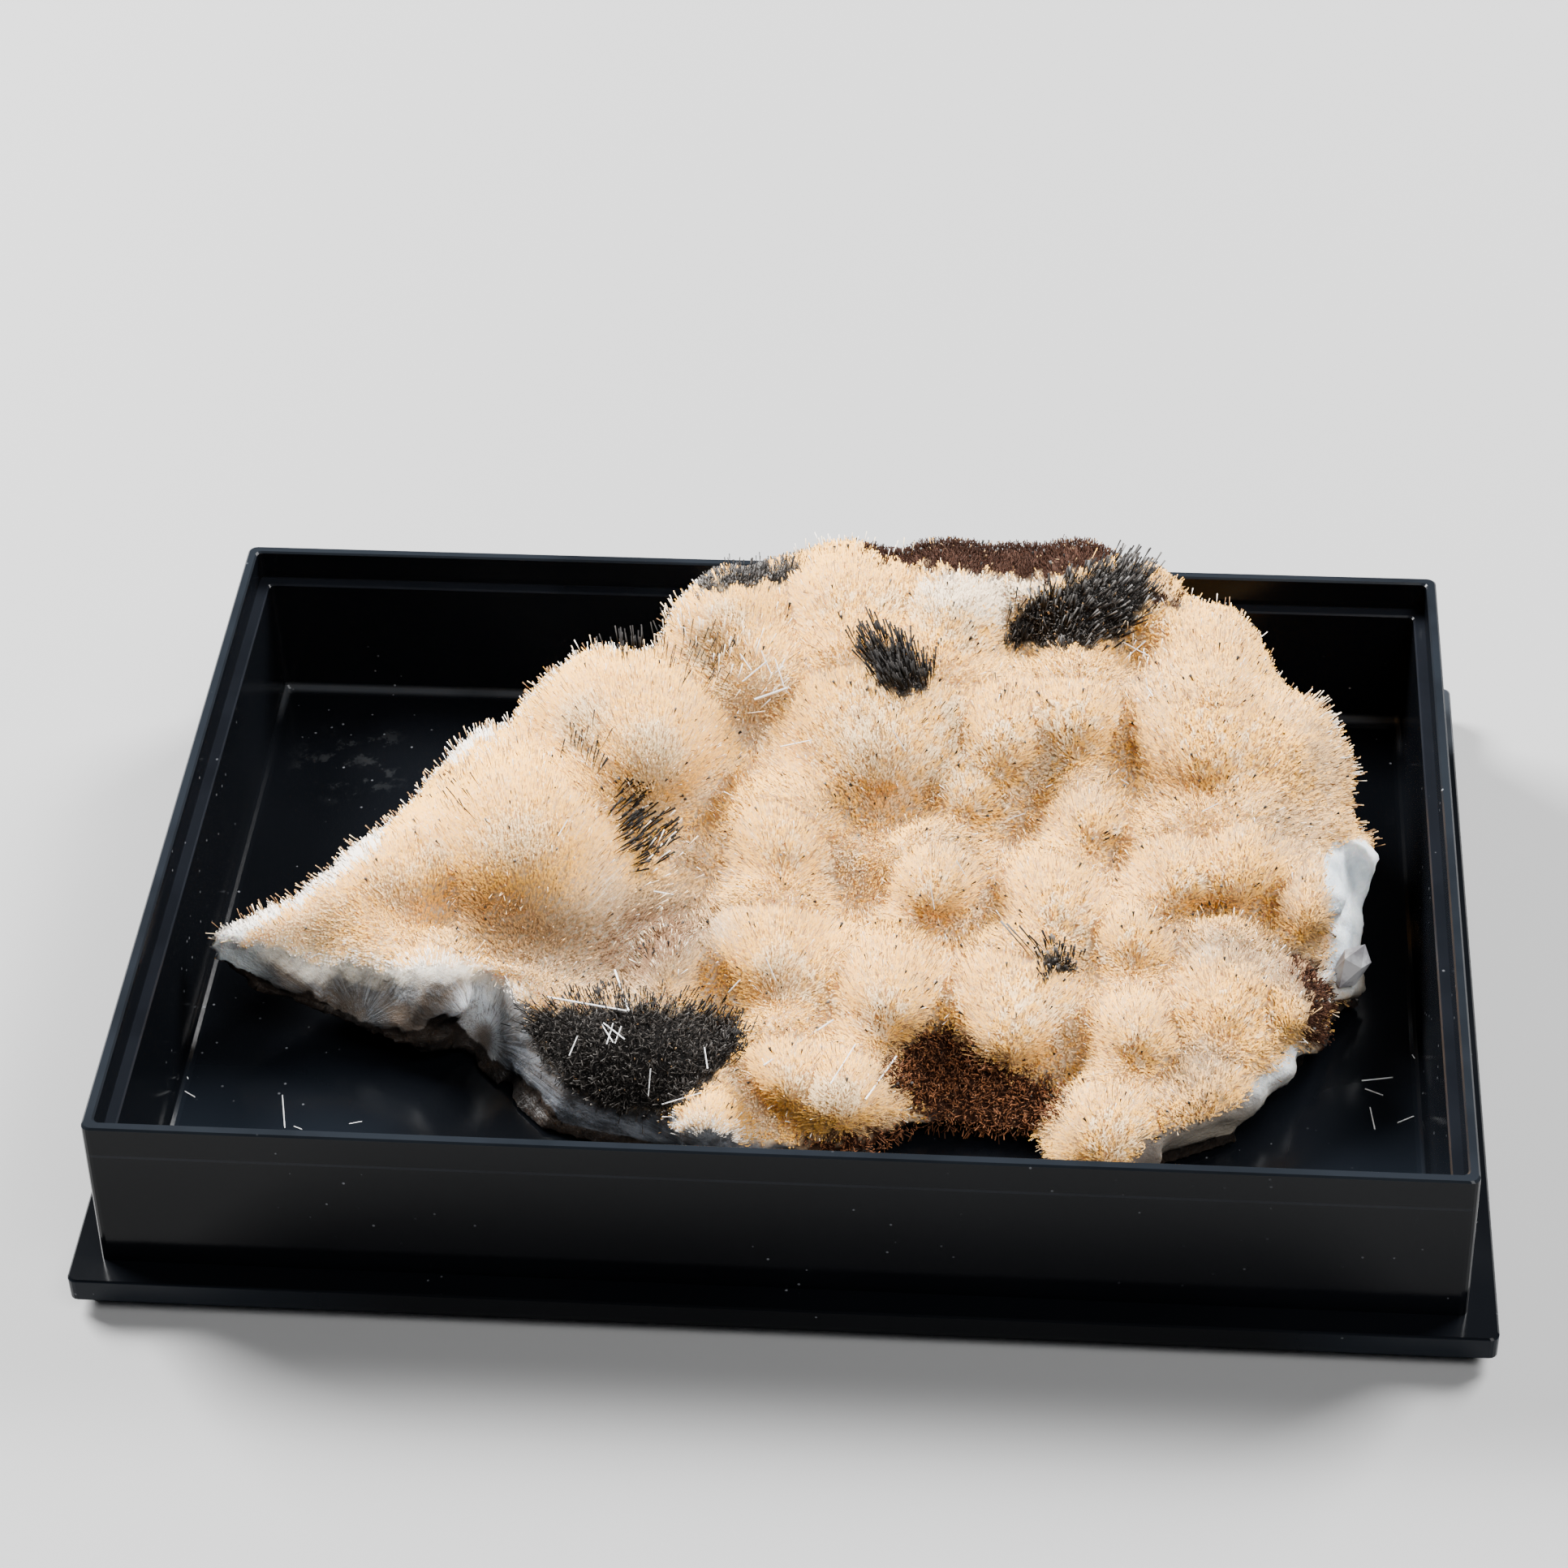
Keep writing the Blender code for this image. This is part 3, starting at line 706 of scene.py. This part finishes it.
cream_needle = needle_material(
    "cream_needles",
    ((0.0, (0.16, 0.08, 0.04)), (0.3, (0.50, 0.33, 0.17)), (0.5, (0.84, 0.54, 0.24)),
     (0.7, (0.96, 0.57, 0.19)), (0.85, (0.93, 0.69, 0.41)), (1.0, (0.90, 0.90, 0.90))),
    ((0.0, (0.13, 0.065, 0.035)), (0.3, (0.50, 0.31, 0.15)), (0.5, (0.84, 0.45, 0.12)),
     (0.7, (1.0, 0.49, 0.06)), (0.85, (0.94, 0.69, 0.40)), (1.0, (0.98, 0.98, 0.98))),
    {"Roughness": 0.7, "Specular IOR Level": 0.06},
)
point, way, deep, dim = scattered(CREAM_COUNT, velvet)
black, rust = patches(point, way)
ragged = np.where(point[:, 1] > RIDGE_Y_MM, 2.5, np.where(point[:, 0] > SIDE_X_MM, 1.5, 11.0))
plain = (black < 0) & (rust < random.normal(size=len(point)) * ragged) & (deep > 0.12)
point, way, deep, dim, rust = point[plain], way[plain], deep[plain], dim[plain], rust[plain]
toward = toward_viewer(point, way)


def radiating(point, way):
    """The lie of the needles turned away from the middle of the nearest spray."""
    nearest = np.full(len(point), 9.0)
    outward = way.copy()
    for px, py, reach_px, _ in SPRAYS:
        middle = on_skin(px, py)
        if middle is None:
            continue
        reach = reach_px * (middle - CAMERA_MM).length / FOCAL_PX
        apart = np.linalg.norm(point - np.array(middle), axis=1) / reach
        closer = apart < nearest
        nucleus = np.array(middle) - np.array((0.0, 0.2, 0.9)) * reach * 0.7
        outward[closer] = unit(point - nucleus)[closer]
        nearest = np.minimum(nearest, apart)
    share = np.clip(1.7 - nearest, 0, 0.6)[:, None] * ((outward * way).sum(axis=1) > 0.2)[:, None]
    return unit(way * (1 - share) + outward * share)


x, y = point.T[:2]
anywhere = np.ones(len(point), bool)
right = rising(x, -8, 24)
heading = unit(radiating(point, way) + random.normal(size=way.shape) * (0.13 + 0.10 * right)[:, None])
# the velvet looks calm where its needles point at the viewer, and quiet there and in the hollows, where its
# tone is raised as painted light
calm = rising(way @ np.array((0.07, -0.75, 0.66)), 0.80, 0.12)
quiet_and_lit = np.maximum(calm, np.clip(dim, 0, 1) * 0.9)
reach = random.normal(size=len(point)) * 0.11 * (1 - 0.5 * calm) - 0.08 * calm
standing = random.random(len(point)) + 0.01 * calm
standing -= 0.15 * np.clip(painted(point, anywhere, *LONG_SPOTS) / 10 + 0.5, 0, 1)
reach += np.where((standing < LONG_SHARE) & (x > -47), 0.2 + random.random(len(point)) * 0.55, 0.0)
reach += np.where(standing > 0.9 + 0.1 * calm, 0.25, 0.0)
tips = point + heading * np.clip(reach, -0.45, 0.9)[:, None]
roots = point - heading * (deep * 1.2 + 0.15)[:, None]
stout = random.random(len(point))
width = BRISTLE_MM * (0.85 + 0.7 * stout ** 3) * (1 + (0.5 + 0.3 * right) * calm)
tone = 0.60 + 0.08 * stout + random.normal(size=len(point)) * (0.08 + 0.03 * right) * (1 - 0.75 * calm)
tone += 0.05 * np.sin(0.55 * x + 0.3 * y) * np.sin(0.5 * y - 0.2 * x + 1.0)
# they stand in clumps at the right, and are stained next to the rust-brown patches
clump = np.sin(point @ (3.1, 1.7, 2.3)) + np.sin(point @ (-2.2, 3.4, 1.1) + 2)
clump += np.sin(point @ (5.2, -3.9, 3.3) + 4)
tone += 0.045 * clump * (0.3 + 0.7 * right)
# painted light: a lighter tone where the needles face the viewer and in the hollows
tone += 0.16 * quiet_and_lit
tone -= 0.10 * rising(x, 20, 20)
tone -= 0.28 * np.exp(np.minimum(rust, 0) / 12) * (y < RIDGE_Y_MM)
# painted shade and light from the shade spots
tone += spotted(point, toward, PAINTED_SHADE)
speckled = random.random(len(point)) < (0.016 + 0.040 * right) * (1 - 0.8 * calm)
tone = np.clip(tone, 0.0, 0.73 + 0.12 * quiet_and_lit)
tone = np.where(speckled, random.random(len(point)) * 0.22, tone)
# white needles: painted light down the back of the left half, on the side that faces the lamp at the left
# behind it, and painted rim light along its upper edge; pale needles on the lumps at the ridge, and white
# ones along the glassy edge
side = way @ np.array(BACKWARD) + random.normal(size=len(point)) * 0.06
flank = (x < -9) & (y > 0.805 * (x + 50.1) - 13.0)
white_and_rim_lit = (side > 0.45) & flank & ~toward
white_and_rim_lit |= painted(point, toward, RIM_LIT_EDGE) > random.normal(size=len(point)) * 3.0
tone = np.where(white_and_rim_lit, WHITE_TONE, tone)
white_and_rim_lit = painted(point, toward, WHITE_LUMPS) > random.normal(size=len(point)) * 7.0
tone = np.where(white_and_rim_lit, PALE_TONE, tone)
white_and_rim_lit = painted(point, anywhere, GLASS_LEFT) > -12 + random.normal(size=len(point)) * 8
tone = np.where(white_and_rim_lit, WHITE_TONE, tone)
# needles pass light on to their ends, which evens out the small domes at the right
lit = unit(way + (right * (0.35 + 0.55 * calm))[:, None] * np.array((0, 0, 1)))
order = np.argsort(x)
for number, chunk in enumerate(np.array_split(order, math.ceil(len(order) / PIECE_BRISTLES))):
    name = f"cream_needles_{number + 1}"
    bristles(name, roots[chunk], tips[chunk], width[chunk], tone[chunk], cream_needle, lit[chunk])


# Black and rust-brown needles: patches where the same needles are stained by manganese and iron.
# The front tuft is a fine felt with black spikes at its rim, and the others are stiff, separate bristles.
DARK_COUNT = 17000
# Where dark needles stand: number, length and radius in mm, the middle they radiate from, and the
# outline, both in pixels of the photograph
SPIKE_SPOTS = (
    (300, 1.3, 0.080, (790, 1345), (640, 1262), (655, 1238), (700, 1230), (760, 1226), (830, 1230),
     (885, 1240), (915, 1258), (920, 1275), (900, 1315), (885, 1300), (880, 1262), (830, 1252), (760, 1246),
     (700, 1250), (668, 1275)),
    (420, 1.9, 0.10, (1240, 850), *BACK_TUFT),
    (260, 2.6, 0.10, (1190, 935), *CENTRE_TUFT),
    (110, 1.2, 0.060, (920, 760), (880, 712), (900, 700), (985, 694), (975, 712), (900, 718)),
    (85, 2.5, 0.065, (800, 930), (700, 790), (760, 765), (830, 770), (890, 790), (905, 830), (880, 860),
     (830, 830), (760, 810)),
    (120, 2.3, 0.12, (660, 1075), (748, 1010), (762, 975), (780, 968), (792, 1008), (816, 1024), (822, 1056),
     (788, 1072), (762, 1050)),
    (22, 2.2, 0.08, (648, 1085), (690, 900), (740, 900), (745, 955), (700, 950)),
    (12, 1.6, 0.075, (648, 1085), (550, 962), (600, 965), (600, 1005), (555, 1000)),
    (70, 0.9, 0.12, (1325, 1215), (1280, 1168), (1298, 1166), (1325, 1176), (1322, 1200), (1290, 1200)),
    (10, 0.8, 0.07, (1085, 940), (1040, 870), (1200, 880), (1190, 900), (1060, 895)),
    (8, 0.7, 0.09, (1340, 1020), (1350, 1022), (1372, 1022), (1372, 1036), (1352, 1036)),
    (14, 0.6, 0.10, (800, 1200), (795, 1166), (812, 1168), (812, 1182), (798, 1182)),
    (14, 0.5, 0.10, (740, 1230), (735, 1208), (752, 1210), (750, 1222), (738, 1222)),
)
# Single black needles, from root to end, in pixels of the photograph
BLACK_LINES = (
    (1086, 805, 1062, 768), (1092, 800, 1079, 764), (1103, 800, 1096, 768), (1112, 802, 1110, 774),
    (1078, 815, 1056, 786), (1072, 824, 1050, 800), (1118, 806, 1126, 782), (1098, 815, 1072, 776),
    (1288, 1180, 1256, 1140), (1284, 1186, 1240, 1138), (1280, 1190, 1233, 1135), (1290, 1174, 1268, 1152),
    (1296, 1172, 1284, 1146), (1376, 720, 1386, 682), (1392, 716, 1402, 676), (1404, 722, 1418, 688),
    (1360, 712, 1366, 676), (1340, 716, 1342, 684), (1320, 730, 1316, 694), (1300, 745, 1292, 706),
    (1280, 755, 1266, 724), (1412, 740, 1424, 716),
)
black_needle = needle_material(
    "black_needles",
    ((0.0, (0.008, 0.007, 0.006)), (1.0, (0.035, 0.028, 0.023))),
    ((0.0, (0.010, 0.009, 0.009)), (0.5, (0.052, 0.046, 0.041)), (1.0, (0.26, 0.25, 0.24))),
    {"Roughness": 0.55, "Specular IOR Level": 0.10},
)
rust_needle = needle_material(
    "rust_needles",
    ((0.0, (0.030, 0.012, 0.008)), (1.0, (0.11, 0.050, 0.030))),
    ((0.0, (0.012, 0.005, 0.003)), (0.25, (0.045, 0.020, 0.012)), (0.5, (0.15, 0.065, 0.034)),
     (0.8, (0.30, 0.115, 0.045)), (1.0, (0.50, 0.29, 0.18))),
    {"Roughness": 0.7, "Specular IOR Level": 0.05},
)
seen = toward_viewer(skin, lie)
skin_black, skin_rust = patches(skin, lie)
point, way, deep = scattered(DARK_COUNT, (skin_black > -10) * (velvet > 0.2))[:3]
heading = unit(way + random.normal(size=way.shape) * 0.30)
kept = patches(point, way)[0] > random.normal(size=len(point)) * 2.0
tips = point + heading * (0.05 + random.normal(size=(len(point), 1)) * 0.13)
roots = point - heading * (deep[:, None] * 1.2)
tone = random.random(len(point)) * 0.55 + 0.45 * (point[:, 1] > RIDGE_Y_MM)
bristles("black_felt", roots[kept], tips[kept], 0.045, tone[kept], black_needle)
point, way, deep = scattered(DARK_COUNT, (skin_rust > -10) * (velvet > 0.2))[:3]
heading = unit(way + random.normal(size=way.shape) * 0.28)
black, rust = patches(point, way)
behind, beside = point[:, 1] > RIDGE_Y_MM, point[:, 0] > SIDE_X_MM
kept = (rust > random.normal(size=len(point)) * np.where(behind | beside, 5.0, 10.0)) & (black < 0)
tips = point + heading * (random.normal(size=(len(point), 1)) * 0.2)
roots = point - heading * (deep[:, None] * 1.2)
lightest = np.where(behind, np.where(point[:, 0] > 19, 0.22, 0.09), np.where(beside, 0.45, 1.0))
tone = random.random(len(point)) ** 0.9 * lightest
bristles("rust_needles", roots[kept], tips[kept], 0.05, tone[kept], rust_needle)
# longer ones lie across one another in the front tuft and in the rust-brown hollow
in_tuft = painted(skin, seen, FRONT_TUFT)
in_hollow = np.where((skin[:, 1] < RIDGE_Y_MM) & (skin[:, 0] < 30), skin_rust, UNSEEN)
for name, count, inside, finish, least in (
    ("lying_black_needles", 1500, in_tuft, black_needle, 0.22),
    ("lying_rust_needles", 1300, in_hollow, rust_needle, 0.45),
):
    point, way = scattered(count, np.clip(inside / 6 - 0.3, 0, 1))[:2]
    heading = unit(way * 0.5 + random.normal(size=way.shape) * 0.8)
    heading += way * np.clip(0.12 - (heading * way).sum(axis=1), 0, None)[:, None]
    tips = point + heading * (0.5 + 0.8 * random.random((count, 1)))
    tone = least + 0.40 * random.random(count)
    bristles(name, point - heading * 0.2, tips, 0.05 + 0.02 * random.random(count), tone, finish)


def spikes(spots, nucleus_mm, outward, spread, shortest):
    """Roots, tips and radii of needles in outlines, which radiate from a place under a middle."""
    roots, tips, thick = [], [], []
    for count, length, radius, middle, *outline in spots:
        point, way = scattered(count, np.clip(painted(skin, seen, tuple(outline)) / 3 + 1, 0, 1))[:2]
        nucleus = np.array(on_skin(*middle)) - np.array((0, 0.25, 0.97)) * nucleus_mm
        heading = unit(way + outward * unit(point - nucleus) + random.normal(size=way.shape) * spread)
        roots.append(point - heading * 0.4)
        tips.append(point + heading * length * (shortest + random.random((count, 1)) * (1 - shortest)))
        thick.append(np.full(count, radius))
    return roots, tips, thick


roots, tips, thick = spikes(SPIKE_SPOTS, 2.0, 1.6, 0.22, 0.35)
for x0, y0, x1, y1 in BLACK_LINES:
    root = on_skin(x0, y0)
    if root:
        away = (root - CAMERA_MM).length
        roots.append([root])
        tips.append([CAMERA_MM + sight(x1, y1) * (away - 0.8)])
        thick.append([0.12])
roots = np.concatenate(roots)
tone = random.random(len(roots)) ** 2 * np.where(roots[:, 0] > 14, 0.95, 0.22)
bristles("black_spikes", roots, np.concatenate(tips), np.concatenate(thick), tone, black_needle)


# Pale spikes: longer white needles that stand out of the velvet, in groups where a spray ends, and
# one by one all over it.
PALE_COUNT = 1500
# The groups: number, length and radius in mm, the middle they radiate from, and the outline, as above
PALE_SPOTS = (
    (45, 2.8, 0.07, (820, 950), (820, 775), (880, 770), (950, 800), (965, 850), (930, 890), (880, 850)),
    (35, 2.0, 0.05, (800, 930), (700, 775), (760, 750), (870, 745), (870, 780), (760, 790), (705, 815)),
    (60, 1.6, 0.05, (648, 1085), (540, 940), (600, 890), (660, 880), (740, 900), (740, 950), (600, 960)),
    (26, 2.4, 0.075, (650, 1085), (770, 1000), (800, 990), (845, 1030), (850, 1120), (800, 1120),
     (780, 1060)),
    (45, 1.5, 0.05, (1480, 930), (1560, 770), (1600, 760), (1690, 880), (1700, 960), (1660, 960),
     (1620, 880)),
    (26, 1.6, 0.05, (1045, 790), (960, 700), (1040, 655), (1120, 670), (1120, 700), (1040, 690), (980, 720)),
    (22, 1.6, 0.06, (1330, 900), (1370, 760), (1420, 770), (1430, 860), (1400, 870), (1380, 820)),
)


def on_velvet(count, weight, gap_px):
    """Random places on the cream velvet, so many pixels away from the black and rust-brown patches."""
    point, way = scattered(count, weight)[:2]
    clear = np.maximum(*patches(point, way)) < -gap_px
    return point[clear], way[clear]


roots, tips, thick = spikes(PALE_SPOTS, 2.5, 1.2, 0.20, 0.3)
point, way = on_velvet(PALE_COUNT, velvet, 4)
heading = unit(radiating(point, way) + random.normal(size=way.shape) * 0.25)
roots.append(point - heading * 0.4)
tips.append(point + heading * (0.4 + 0.9 * random.random((len(point), 1)) ** 2))
thick.append(np.full(len(point), 0.05))
roots = np.concatenate(roots)
tone = 0.86 + random.random(len(roots)) * 0.14
bristles("pale_spikes", roots, np.concatenate(tips), np.concatenate(thick), tone, cream_needle)


# Specks: single needles with dark ends, and grains of dust caught between the needles. There are
# more of them to the right.
SPECK_COUNT = 900
point, way = scattered(SPECK_COUNT, velvet * np.clip((skin[:, 0] + 60) / 60, 0.2, 1.2))[:2]
ahead = radiating(point, way)
tips = point + ahead * (0.12 + random.random((len(point), 1)) * 0.35)
thick = 0.085 + 0.09 * random.random(len(point)) ** 2
bristles("dark_specks", point - ahead * 0.3, tips, thick, random.random(len(point)) * 0.8, black_needle)


# Strokes and flecks: needles that lie over outward from the middles of the sprays, some pale and some
# brown, which draw fine lines on the velvet, and short brown ends, most of them at the right.
STROKE_COUNT = 7000
FLECK_COUNT = 3000
point, way = on_velvet(STROKE_COUNT, velvet, 40)
ahead = radiating(point, way)
heading = unit(ahead + 1.6 * (ahead - way) + random.normal(size=way.shape) * 0.15)
tips = point + heading * (0.3 + 0.9 * random.random((len(point), 1))) + way * 0.15
tone = np.where(random.random(len(point)) < 0.40, 0.84, 0.02 + 0.16 * random.random(len(point)))
bristles("strokes", point - way * 0.1, tips, 0.042 + 0.024 * random.random(len(point)), tone, cream_needle)
point, way = scattered(FLECK_COUNT, velvet * np.clip((skin[:, 0] + 40) / 60, 0.1, 1.2))[:2]
heading = unit(radiating(point, way) + random.normal(size=way.shape) * 0.5)
tips = point + heading * (0.1 + 0.3 * random.random((len(point), 1)))
thick = 0.05 + 0.05 * random.random(len(point)) ** 2
tone = 0.02 + 0.24 * random.random(len(point))
bristles("brown_flecks", point - heading * 0.2, tips, thick, tone, cream_needle)


# Chip: a broken corner of clear crystal at the right end.
# It is a small faceted lump with uneven corners. Its middle and half sizes are in mm.
CHIP_MM = (46.6, -4.6, 9.4)
CHIP_HALF_MM = (1.5, 1.3, 2.9)
bpy.ops.mesh.primitive_ico_sphere_add(subdivisions=1, radius=1.0, location=(0, 0, 0))
chip = bpy.context.object
chip.name = "chip"
for vertex in chip.data.vertices:
    push = 1 + 0.28 * noise.noise(vertex.co * 2.3)
    vertex.co = Vector(half * part for half, part in zip(CHIP_HALF_MM, vertex.co)) * push * MM
chip.data.transform(Matrix.Translation(Vector(CHIP_MM) * MM) @ Matrix.Rotation(0.35, 4, "Y"))
ice, shader, wire = new_material("clear_chip", {"Roughness": 0.3, "Specular IOR Level": 0.5})
cloudy = wire.noise(500.0, 3.0, 0.6).between(0.4, 0.6)
feed(shader, "Base Color", wire.mix(cloudy, (0.34, 0.33, 0.36), (0.70, 0.71, 0.73)))
chip.data.materials.append(ice)
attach(chip, "root")


# Loose needles: broken white crystals, lying on the specimen and on the tray's floor. Each is one
# six-sided rod. Those on the specimen are lifted toward the viewer, to lie on top of its needles.
LOOSE_LIFT_MM = 0.6
# From end to end in pixels of the photograph, with the radius in hundredths of a millimetre
LOOSE_ON_SPECIMEN = (
    (915, 840, 945, 815, 7), (930, 862, 970, 848, 12), (962, 920, 1000, 912, 6),
    (912, 806, 926, 826, 5), (938, 802, 950, 830, 5), (955, 812, 966, 846, 5),
    (675, 1228, 772, 1245, 8), (758, 1195, 775, 1245, 9), (742, 1262, 756, 1284, 5),
    (756, 1260, 748, 1286, 5), (744, 1260, 770, 1280, 6), (766, 1264, 758, 1285, 5),
    (702, 1300, 712, 1276, 5), (868, 1290, 872, 1316, 6), (799, 1350, 802, 1316, 5),
    (816, 1360, 864, 1346, 6), (941, 1312, 1027, 1256, 8), (1023, 1335, 1054, 1286, 6),
    (1066, 1354, 1104, 1301, 8), (898, 1222, 912, 1207, 7), (944, 1181, 956, 1208, 5),
    (1146, 1091, 1151, 1120, 4), (1384, 792, 1414, 808, 5), (1388, 810, 1411, 790, 5),
    (1412, 846, 1420, 858, 4), (1380, 960, 1390, 966, 4), (806, 1098, 830, 1102, 6),
    (1178, 1060, 1190, 1080, 4), (700, 1010, 688, 1030, 4), (1100, 900, 1115, 925, 4),
    (1240, 1010, 1262, 1002, 4), (1480, 1000, 1500, 990, 4),
)
LOOSE_ON_FLOOR = (
    (1678, 1332, 1716, 1328, 5), (1682, 1342, 1704, 1350, 5), (1688, 1365, 1694, 1392, 5),
    (1722, 1384, 1742, 1376, 5), (348, 1350, 351, 1390, 5), (222, 1310, 232, 1330, 4),
    (228, 1345, 240, 1352, 4), (362, 1388, 372, 1392, 4), (1752, 1402, 1759, 1428, 4),
    (1740, 1300, 1748, 1312, 4), (430, 1385, 446, 1382, 3), (214, 1280, 222, 1292, 4),
)


def on_floor(px, py):
    way = sight(px, py)
    return CAMERA_MM + way * ((TRAY_FLOOR_MM - CAMERA_MM.z) / way.z)


def rod(name, start, end, radius):
    """One long crystal with flat ends, from start to end in mm."""
    bpy.ops.mesh.primitive_cylinder_add(
        vertices=6, radius=radius * MM, depth=(end - start).length * MM, location=(0, 0, 0)
    )
    item = bpy.context.object
    item.name = name
    turned = (end - start).to_track_quat("Z", "Y").to_matrix().to_4x4()
    item.data.transform(Matrix.Translation((start + end) / 2 * MM) @ turned)
    return item


clear_needle, shader, wire = new_material("clear_needles", {"Roughness": 0.25, "Specular IOR Level": 0.5})
milky = wire.noise(900.0, 2.0, 0.5)
feed(shader, "Base Color", wire.mix(milky.between(0.35, 0.65), (0.80, 0.80, 0.80), (0.97, 0.97, 0.96)))
made = []
for x0, y0, x1, y1, thick in LOOSE_ON_SPECIMEN:
    ends = on_skin(x0, y0), on_skin(x1, y1)
    if all(ends):
        lift = CAMERA_BACK * LOOSE_LIFT_MM
        made.append(rod("loose_needle", ends[0] + lift, ends[1] + lift, thick / 100))
for x0, y0, x1, y1, thick in LOOSE_ON_FLOOR:
    lift = Vector((0, 0, thick / 100))
    made.append(rod("loose_needle", on_floor(x0, y0) + lift, on_floor(x1, y1) + lift, thick / 100))
activate(made[0])
for item in made:
    item.select_set(True)
bpy.ops.object.join()
loose = bpy.context.object
loose.name = "loose_needles"
loose.data.materials.append(clear_needle)
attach(loose, "root")


# Floor and light: a plain pale table, two soft lamps behind the tray, at the left and at the right,
# a weaker one in front, and an even, faint light from all round.
bpy.ops.object.select_all(action="DESELECT")
bpy.ops.mesh.primitive_plane_add(size=6.0, location=(0.0, 0.0, -0.00003))
floor = bpy.context.active_object
floor.name = "table_top"
pale, shader, wire = new_material("pale_table", {"Roughness": 0.6, "Specular IOR Level": 0.3})
feed(shader, "Base Color", wire.mix(wire.noise(3.0, 2.0, 0.5), (0.28, 0.28, 0.28), (0.30, 0.30, 0.30)))
floor.data.materials.append(pale)


def soft_lamp(name, place, aim, width, depth, power):
    lamp = bpy.data.lights.new(name, "AREA")
    lamp.shape = "RECTANGLE"
    lamp.size = width
    lamp.size_y = depth
    lamp.energy = power
    item = bpy.data.objects.new(name, lamp)
    item.location = place
    item.rotation_euler = (Vector(aim) - Vector(place)).to_track_quat("-Z", "Y").to_euler()
    scene.collection.objects.link(item)


soft_lamp("left_lamp", (-0.46, 0.30, 0.46), (0.0, 0.0, 0.0), 0.30, 0.30, 27.0)
soft_lamp("right_lamp", (0.42, 0.36, 0.48), (0.0, 0.0, 0.0), 0.30, 0.30, 18.0)
soft_lamp("front_lamp", (0.30, -0.30, 0.62), (0.0, 0.0, 0.01), 0.40, 0.30, 4.6)
world = bpy.data.worlds.new("studio")
scene.world = world
world.use_nodes = True
sky = world.node_tree.nodes["Background"]
sky.inputs["Color"].default_value = (0.75, 0.80, 0.90, 1.0)
sky.inputs["Strength"].default_value = 0.09
